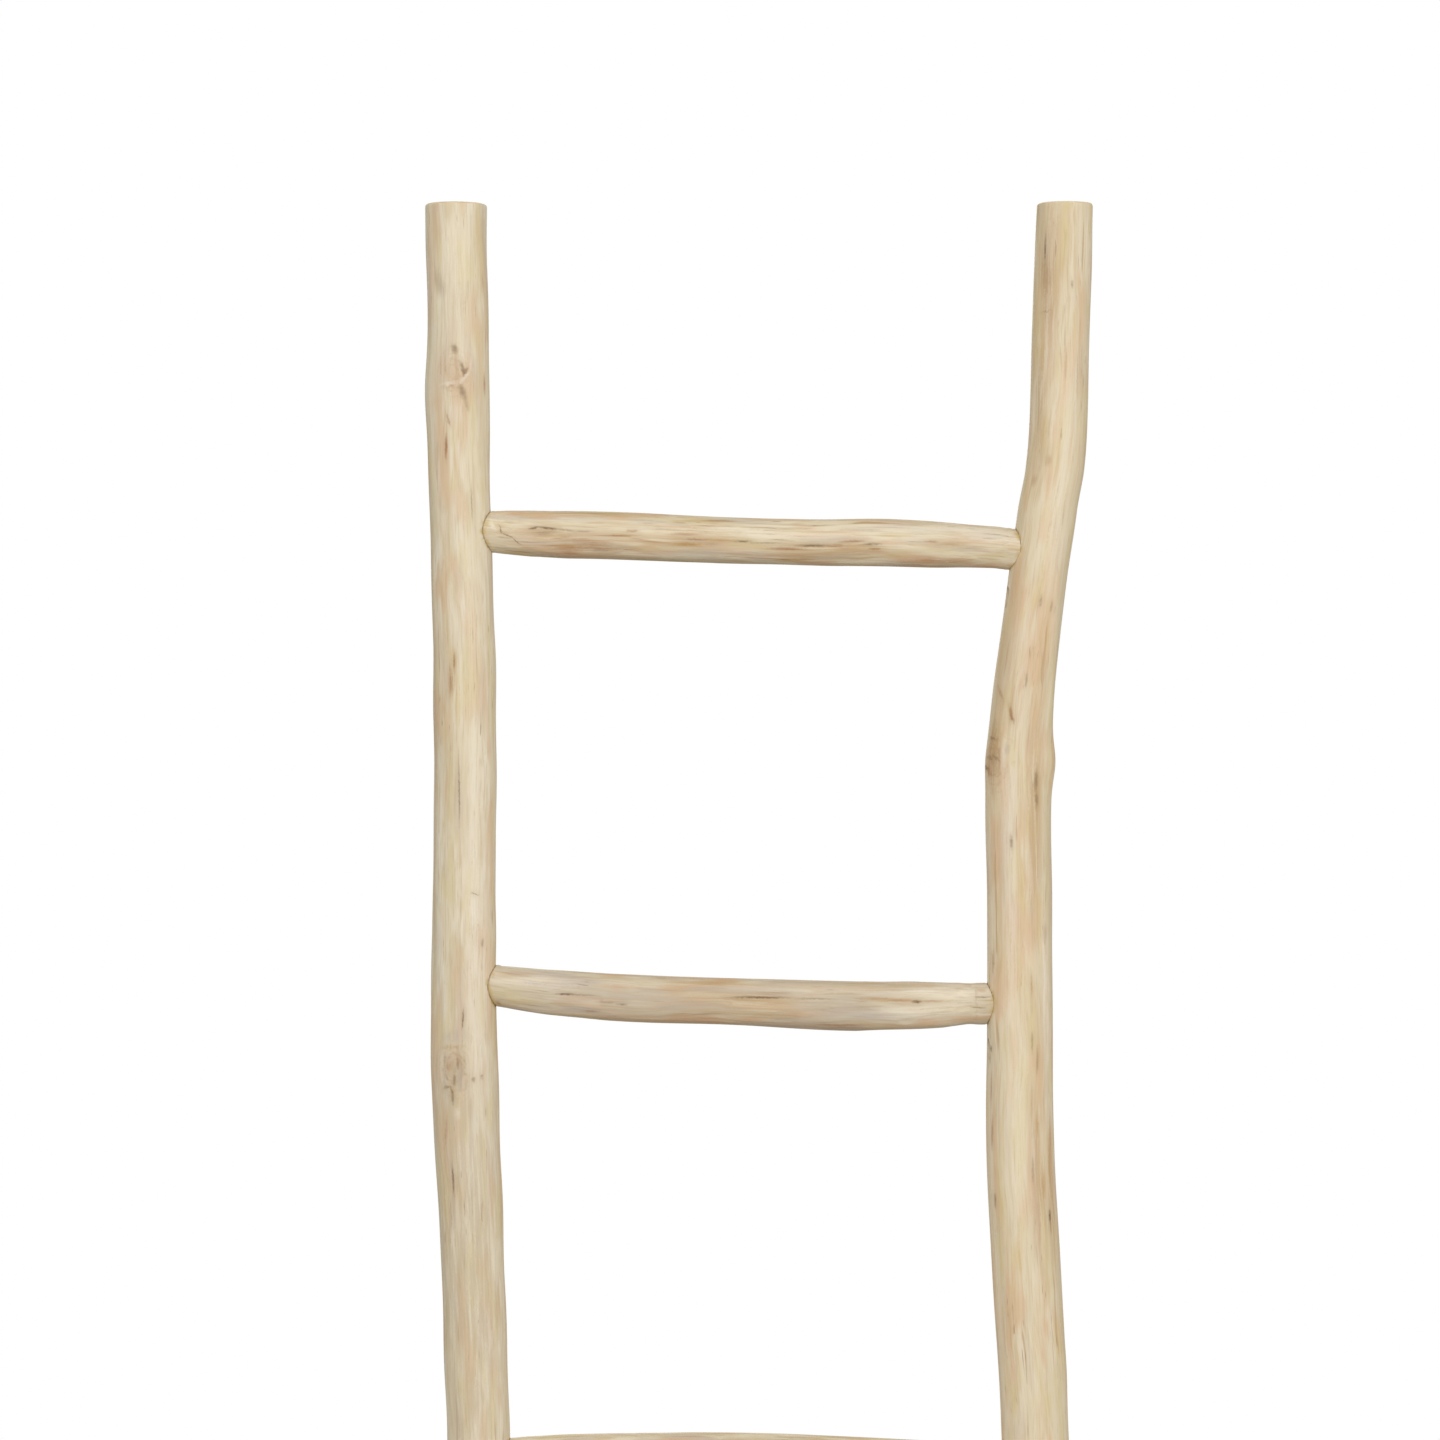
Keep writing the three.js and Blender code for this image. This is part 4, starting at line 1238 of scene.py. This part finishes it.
seamFades = {  # by the distance in mm, and by the spots it lies in
    "glue": ((0.3, 3.4, 0.85, 0.0), (0.4, 0.6)),
    # gap: painted shade, darkest at the seam itself
    "gap": ((0.0, 0.9, 0.55, 0.0), (0.42, 0.58, 0.9, 0.15)),
}


def makeWood(name, look, strokes, isRail):
    material = bpy.data.materials.new(name)
    tree = emptyTree(material)
    grain, place, joint = (attribute(tree, which) for which in ("grain", "place", "joint"))

    # Fibres wander a little, so all that follows is drawn on swayed coordinates
    sway = cloud(tree, grain, woodFinish["swayScale"], 2.0, "Color")
    swayed = vectors(tree, "MULTIPLY_ADD", sway, woodFinish["sway"], grain)
    rough = cloud(tree, place, woodFinish["roughScale"], 3.0, "Color")

    # Layers and streaks, each one's noise read at a place of its own
    colour = shade(*look["ground"])
    for i, (tint, share, across, along, detail, low, high) in enumerate(look["layers"]):
        noise = stretched(tree, swayed, (across, along), detail, 0.55, (7.3 * i, 2.9 * i, 5.1 * i))
        colour = blend(tree, fade(tree, noise, low, high, 0.0, share), colour, shade(*tint))
    fibre = noise
    streaked = None
    for i, (tint, share, across, along, detail, low, high, area) in enumerate(look["streaks"]):
        noise = stretched(tree, swayed, (across, along), detail, 0.5, (31 + 9 * i, 12, 3))
        where = stretched(tree, swayed, woodFinish["areaScale"], 2.0, 0.5, (5, 41 + 8 * i, 13))
        streak = maths(tree, "MULTIPLY", fade(tree, noise, low, high, 0.0, share),
                       fade(tree, where, area, area + woodFinish["areaSoft"]))
        colour = blend(tree, streak, colour, shade(*tint))
        streaked = streak if streaked is None else maths(tree, "MAXIMUM", streaked, streak)
    relief = maths(tree, "SUBTRACT", fibre, maths(tree, "MULTIPLY", streaked, woodFinish["streakDent"]))

    if isRail:
        colour, relief = addKnots(tree, colour, relief, rough, grain)

    # Scars and flecks, with ragged edges
    ragged = shaken(tree, place, rough, woodFinish["ragged"])
    patchy = fade(tree, rough, *woodFinish["patchy"])
    brushed = fade(tree, stretched(tree, ragged, woodFinish["brushScale"], 3.0, 0.6, (8, 3, 1)),
                   *woodFinish["brushed"])
    wash = node(tree, "Attribute", attribute_name="wash").outputs
    cover = maths(tree, "MULTIPLY", wash["Alpha"], brushed)
    colour = blend(tree, cover, colour, (0, 0, 0, 1))
    colour = blend(tree, brushed, colour, wash["Color"], "ADD")
    for kind, strength in markNodes(tree, ragged, strokes).items():
        strength = maths(tree, "MULTIPLY", strength, brushed if kind in brushedKinds else patchy)
        colour = blend(tree, strength, colour, shade(*strokeTints[kind]))
        if kind == "dark":
            dent = maths(tree, "MULTIPLY", strength, woodFinish["darkDent"])
            relief = maths(tree, "SUBTRACT", relief, dent)

    if isRail:
        colour = addCutWood(tree, colour, swayed, place)
    else:
        # Painted shade along the underside: each rung darkens towards its lowest line, where less light
        # reaches it
        lowest = fade(tree, node(tree, "SeparateXYZ", {0: ragged}).outputs[1], *woodFinish["undersideShade"])
        colour = blend(tree, lowest, colour, shade(*strokeTints["grey"]))

    # Dried glue round each joint, and painted shade in its seam, a dark line that stands in for the
    # shadow in the gap, both by the distance in mm from the hole's rim or from the rail's skin
    shows = node(tree, "SeparateXYZ", {0: joint}).outputs[2]
    reached = vectors(tree, "LENGTH", vectors(tree, "MULTIPLY", joint, (1, 1, 0)))
    off = maths(tree, "ABSOLUTE", maths(tree, "SUBTRACT", reached, 1.0))
    seam = maths(tree, "MULTIPLY", off, ladder["mortiseGirth" if isRail else "railGirth"] / 2)
    spots = cloud(tree, place, seamSpots, 2.0)
    for tone, (near, spotted) in seamFades.items():
        amount = maths(tree, "MULTIPLY", fade(tree, seam, *near), fade(tree, spots, *spotted))
        colour = blend(tree, maths(tree, "MULTIPLY", amount, shows), colour, shade(*woodTones[tone]))

    bump = node(tree, "Bump", {"Strength": woodFinish["bump"], "Distance": woodFinish["bumpHeight"],
                               "Height": relief}).outputs[0]
    surface = node(tree, "BsdfPrincipled", {
        "Base Color": colour, "Roughness": fade(tree, fibre, *woodFinish["roughness"]),
        "Normal": bump})
    surface.inputs["Specular IOR Level"].default_value = woodFinish["specular"]
    node(tree, "OutputMaterial", {"Surface": surface.outputs[0]})
    return material


knotLook = {  # lengths in sizes of the knot
    "warpScale": 0.11,
    "warp": (0.75, 0.6, 0),
    "flatter": (1, 0.66, 0),
    "broken": (0.38, 0.6),
    "bruise": (0.25, 0.75, 0.45, 0.0),
    "rings": 34.0,  # radians of their wave to one size
    "ringsFade": (0.35, 1.15, 0.65, 0.0),
    "lipAt": 0.4,
    "lip": (0.02, 0.1, 0.75, 0.0),
    "heart": (0.02, 0.2, 0.7, 0.0),
    "dent": 1.6,
}


def addKnots(tree, colour, relief, rough, grain):
    # A knot is a bruised brownish oval in a broken dark lip, with faint rings round it. How much of
    # it shows is the third part of the knot attribute.
    parts = node(tree, "SeparateXYZ", {0: attribute(tree, "knot")}).outputs
    shows = parts[2]
    flat = node(tree, "CombineXYZ", {0: parts[0], 1: parts[1]}).outputs[0]
    warp = cloud(tree, grain, knotLook["warpScale"], 3.0, "Color")
    flat = shaken(tree, flat, warp, knotLook["warp"])
    away = vectors(tree, "LENGTH", vectors(tree, "MULTIPLY", flat, knotLook["flatter"]))
    strong = maths(tree, "POWER", shows, 2.0)
    faint = maths(tree, "POWER", maths(tree, "MAXIMUM", shows, 0.0), 0.5)
    broken = fade(tree, rough, *knotLook["broken"])
    bruise = maths(tree, "MULTIPLY", fade(tree, away, *knotLook["bruise"]), faint)
    rings = fade(tree, maths(tree, "SINE", maths(tree, "MULTIPLY", away, knotLook["rings"])), 0.0, 1.0)
    rings = maths(tree, "MULTIPLY", rings, maths(tree, "MULTIPLY", faint, broken))
    rings = maths(tree, "MULTIPLY", rings, fade(tree, away, *knotLook["ringsFade"]))
    lip = maths(tree, "ABSOLUTE", maths(tree, "SUBTRACT", away, knotLook["lipAt"]))
    lip = maths(tree, "MULTIPLY", fade(tree, lip, *knotLook["lip"]),
                maths(tree, "MULTIPLY", strong, broken))
    heart = maths(tree, "MULTIPLY", fade(tree, away, *knotLook["heart"]), strong)
    colour = blend(tree, bruise, colour, shade(*woodTones["knot"]))
    colour = blend(tree, rings, colour, shade(*woodTones["year"]))
    for amount in (lip, heart):
        colour = blend(tree, amount, colour, shade(*woodTones["lip"]))
        relief = maths(tree, "SUBTRACT", relief, maths(tree, "MULTIPLY", amount, knotLook["dent"]))
    return colour, maths(tree, "SUBTRACT", relief, rings)


cutLook = {  # lengths in mm
    "pith": (6.6, 2.7, 0),
    "pithSpot": (0.6, 1.6, 0.7, 0.0),
    "rings": 3.1,  # radians of their wave to one mm
    "waverScale": 0.09,
    "waver": 9.0,
    "widthScale": 0.3,
    "width": 8.0,
    "years": (-0.3, 1.0),
    "yearStrength": (0.25, 0.75, 0.2, 0.6),
    "checkScale": 2.3,
    "checkAt": 0.52,
    "check": (0.002, 0.012, 0.75, 0.0),
    "checkFade": (8.0, 17.0, 1.0, 0.0),
    "ends": (8, 5),  # from a sawn end, where the bores' plain wood stops and the sawn wood is full
    "under": (0.5, 1.2),  # below the surface
}


def addCutWood(tree, colour, swayed, place):
    # Cut wood: plain and pale in the bores, the pale partly their own fresh-cut tone and partly a
    # painted highlight on their walls; and on the sawn ends with growth rings that waver round an
    # off-centre pith, some wide and some narrow, and drying checks that run out from it
    under = node(tree, "Attribute", attribute_name="under").outputs["Fac"]
    flat = vectors(tree, "MULTIPLY", swayed, (1, 1, 0))
    pith = vectors(tree, "SUBTRACT", flat, cutLook["pith"])
    away = vectors(tree, "LENGTH", pith)
    waver = cloud(tree, flat, cutLook["waverScale"], 2.0)
    wide = node(tree, "TexNoise", {"W": away, "Scale": cutLook["widthScale"], "Detail": 1.0},
                noise_dimensions="1D").outputs["Fac"]
    ring = maths(tree, "MULTIPLY", away, cutLook["rings"])
    ring = maths(tree, "MULTIPLY_ADD", waver, cutLook["waver"], ring)
    ring = maths(tree, "SINE", maths(tree, "MULTIPLY_ADD", wide, cutLook["width"], ring))
    years = maths(tree, "MULTIPLY", fade(tree, ring, *cutLook["years"]),
                  fade(tree, wide, *cutLook["yearStrength"]))
    spoke = cloud(tree, vectors(tree, "NORMALIZE", pith), cutLook["checkScale"], 1.0)
    check = maths(tree, "ABSOLUTE", maths(tree, "SUBTRACT", spoke, cutLook["checkAt"]))
    check = maths(tree, "MULTIPLY", fade(tree, check, *cutLook["check"]),
                  fade(tree, away, *cutLook["checkFade"]))
    tone = blend(tree, years, shade(*woodTones["cut"]), shade(*woodTones["year"]))
    for amount in (fade(tree, away, *cutLook["pithSpot"]), check):
        tone = blend(tree, amount, tone, shade(*woodTones["lip"]))
    height, middle = node(tree, "SeparateXYZ", {0: place}).outputs[2], ladder["height"] / 2
    fromMiddle = maths(tree, "ABSOLUTE", maths(tree, "SUBTRACT", height, middle))
    atEnd = fade(tree, fromMiddle, *(middle - end for end in cutLook["ends"]))
    # The bores' pale tone: partly their own fresh-cut wood, partly a painted highlight
    tone = blend(tree, atEnd, shade(*woodTones["bored"]), tone)
    return blend(tree, fade(tree, under, *cutLook["under"]), colour, tone)


def strokesOn(finder, branch, rows):
    return [(finder(branch, *row[:2]), finder(branch, *row[2:4]), *row[4:]) for row in rows]


leftMarks = strokesOn(onRail, leftRail, leftStrokes)
rightMarks = strokesOn(onRail, rightRail, rightStrokes)
topMarks = strokesOn(onRung, 4, topRungStrokes)
nextMarks = strokesOn(onRung, 3, nextRungStrokes)
leftWood = makeWood("leftRailWood", leftRailLook, leftMarks, True)
rightWood = makeWood("rightRailWood", rightRailLook, rightMarks, True)
creamWood = makeWood("creamRungWood", creamRungLook, topMarks, False)
greyWood = makeWood("greyRungWood", greyRungLook, nextMarks, False)
for piece, wood, marks in zip(
        railPieces + rungPieces,
        (leftWood, rightWood, greyWood, creamWood, creamWood, greyWood, creamWood),
        (leftMarks, rightMarks, [], [], [], nextMarks, topMarks)):
    piece.data.materials.clear()
    piece.data.materials.append(wood)
    layWashes(piece.data, marks)


steelLook = {
    "bright": (196, 192, 184),
    "dull": (150, 146, 138),
    "bloomScale": 900.0,
    "bloom": (0.4, 0.65),
    "roughness": (0.35, 0.7, 0.28, 0.5),
    "scratchScale": 4200.0,
    "bump": 0.3,
    "bumpHeight": 0.00003,  # metres
}


def makeSteel():
    # Bright zinc, duller where fine scratches and blooms lie
    material = bpy.data.materials.new("zincedSteel")
    tree = emptyTree(material)
    place = node(tree, "TexCoord").outputs["Object"]
    bloom = cloud(tree, place, steelLook["bloomScale"], 3.0)
    scratch = cloud(tree, place, steelLook["scratchScale"], 1.0)
    colour = blend(tree, fade(tree, bloom, *steelLook["bloom"]), shade(*steelLook["bright"]),
                   shade(*steelLook["dull"]))
    bump = node(tree, "Bump", {"Strength": steelLook["bump"], "Distance": steelLook["bumpHeight"],
                               "Height": scratch}).outputs[0]
    surface = node(tree, "BsdfPrincipled", {
        "Base Color": colour, "Roughness": fade(tree, bloom, *steelLook["roughness"]),
        "Normal": bump})
    surface.inputs["Metallic"].default_value = 1.0
    node(tree, "OutputMaterial", {"Surface": surface.outputs[0]})
    return material


steel = makeSteel()
for piece in screwPieces:
    piece.data.materials.append(steel)
print("materials made")

# Studio: white all round for the camera, a pale floor that fades out, one large soft lamp in front,
# high and a little to the right, and a weaker one behind
studio = {
    "cameraLens": 120,
    "sensor": 36,
    "frameWidth": 1036.8,  # mm seen across at the ladder
    "cameraX": -27.4,
    "cameraZ": 1378.6,
    "ambient": 0.54,
    "fromAbove": 0.33,
    "fromSide": 0.6,
    "tintBelow": (1.0, 0.965, 0.91, 1),
    "tintAbove": (0.945, 0.975, 0.935, 1),
    "tintFade": (-0.6, 0.9),
}
floorLook = {
    "radius": 1.9,  # metres
    "rings": 40,
    "around": 96,
    "under": 0.2,  # mm below the feet
    "clearFrom": 0.35,  # metres out, where it starts to fade, and what share of it is clear
    "clearAt": 0.95,
    "bright": (250, 249, 247),
    "dull": (244, 243, 240),
    "speckScale": 60.0,
    "speck": (0.3, 0.7),
    "roughness": 0.85,
    "specular": 0.1,
    "lift": 0.2,  # added where it is seen, so that it comes out near white
}
lamps = {
    "keyLamp": {"place": (0.65, -4.4, 3.1), "target": (0, 0, 1.2), "size": 1.8, "power": 118,
                "tint": (1.0, 0.995, 0.99)},
    "backLamp": {"place": (-0.9, 4.4, 2.4), "target": (0, 0, 1.0), "size": 1.8, "power": 72,
                 "tint": (1.0, 0.99, 0.97)},
}


def seenShare(tree):
    # 1 on what the camera sees, straight or in a reflection or through glass
    path = node(tree, "LightPath").outputs
    return maths(tree, "MAXIMUM", path["Is Camera Ray"],
                 maths(tree, "MAXIMUM", path["Is Glossy Ray"], path["Is Transmission Ray"]))


def makeWorld():
    world = bpy.data.worlds.new("studioWorld")
    bpy.context.scene.world = world
    tree = emptyTree(world)
    way = node(tree, "TexCoord").outputs["Generated"]
    above = node(tree, "SeparateXYZ", {0: way}).outputs[2]
    # Strongest from the side, weaker from above and weakest from below. With a for how far up the
    # way points, the strength is ambient * (1 + fromSide / 4 + fromAbove * a - fromSide * a * a).
    strength = maths(tree, "MULTIPLY_ADD", above, -studio["fromSide"], studio["fromAbove"])
    strength = maths(tree, "MULTIPLY_ADD", strength, above, 1 + studio["fromSide"] / 4)
    strength = maths(tree, "MULTIPLY", strength, studio["ambient"])
    tint = blend(tree, fade(tree, above, *studio["tintFade"]), studio["tintBelow"],
                 studio["tintAbove"])
    around = node(tree, "Background", {"Color": tint, "Strength": strength})
    white = node(tree, "Background", {"Color": (1, 1, 1, 1), "Strength": 1.0})
    mixed = node(tree, "MixShader", {0: seenShare(tree), 1: around.outputs[0],
                                     2: white.outputs[0]})
    node(tree, "OutputWorld", {"Surface": mixed.outputs[0]})


def makeFloor():
    # Rings spread from the middle, wider and wider: radius grows as the square of the ring's number
    rings, around = floorLook["rings"], floorLook["around"]
    ring = np.linspace(0, 1, rings)[:, None] ** 2 * floorLook["radius"] / mm
    angle = np.arange(around) * 2 * math.pi / around
    level = np.full((rings, around), -floorLook["under"])
    points = np.stack([ring * np.cos(angle), ring * np.sin(angle), level], -1)
    here = np.arange(rings * around).reshape(rings, around)
    there = np.roll(here, -1, axis=1)
    faces = np.stack([here[:-1], here[1:], there[1:], there[:-1]], -1).reshape(-1, 4)
    mesh = bpy.data.meshes.new("paleFloor")
    mesh.from_pydata((points * mm).reshape(-1, 3), [], faces)
    floor = addObject("paleFloor", mesh)
    material = bpy.data.materials.new("paleFloor")
    tree = emptyTree(material)
    place = node(tree, "TexCoord").outputs["Object"]
    share = fade(tree, vectors(tree, "LENGTH", place), floorLook["clearFrom"],
                 floorLook["radius"] * floorLook["clearAt"])
    speck = cloud(tree, place, floorLook["speckScale"], 3.0)
    tone = blend(tree, fade(tree, speck, *floorLook["speck"]), shade(*floorLook["bright"]),
                 shade(*floorLook["dull"]))
    pale = node(tree, "BsdfPrincipled", {"Base Color": tone})
    pale.inputs["Roughness"].default_value = floorLook["roughness"]
    pale.inputs["Specular IOR Level"].default_value = floorLook["specular"]
    lift = node(tree, "Emission", {
        "Strength": maths(tree, "MULTIPLY", seenShare(tree), floorLook["lift"])})
    lit = node(tree, "AddShader", {0: pale.outputs[0], 1: lift.outputs[0]})
    clear = node(tree, "BsdfTransparent")
    mixed = node(tree, "MixShader", {0: share, 1: lit.outputs[0], 2: clear.outputs[0]})
    node(tree, "OutputMaterial", {"Surface": mixed.outputs[0]})
    mesh.materials.append(material)


def addLamp(name, place, target, size, power, tint):
    data = bpy.data.lights.new(name, "AREA")
    data.shape, data.size, data.energy, data.color = "SQUARE", size, power, tint
    lamp = bpy.data.objects.new(name, data)
    bpy.context.scene.collection.objects.link(lamp)
    lamp.visible_camera = False
    lamp.location = place
    lamp.rotation_mode = "QUATERNION"
    lamp.rotation_quaternion = (Vector(target) - Vector(place)).to_track_quat("-Z", "Y")


makeWorld()
makeFloor()
for name, lamp in lamps.items():
    addLamp(name, **lamp)

camera = bpy.data.objects.new("camera", bpy.data.cameras.new("camera"))
bpy.context.scene.collection.objects.link(camera)
camera.data.lens, camera.data.sensor_width = studio["cameraLens"], studio["sensor"]
distance = studio["frameWidth"] * studio["cameraLens"] / studio["sensor"]
camera.location = (studio["cameraX"] * mm, -distance * mm, studio["cameraZ"] * mm)
camera.rotation_euler = (math.pi / 2, 0, 0)
bpy.context.scene.camera = camera
bpy.context.scene.view_settings.view_transform = "Standard"
print("studio made")
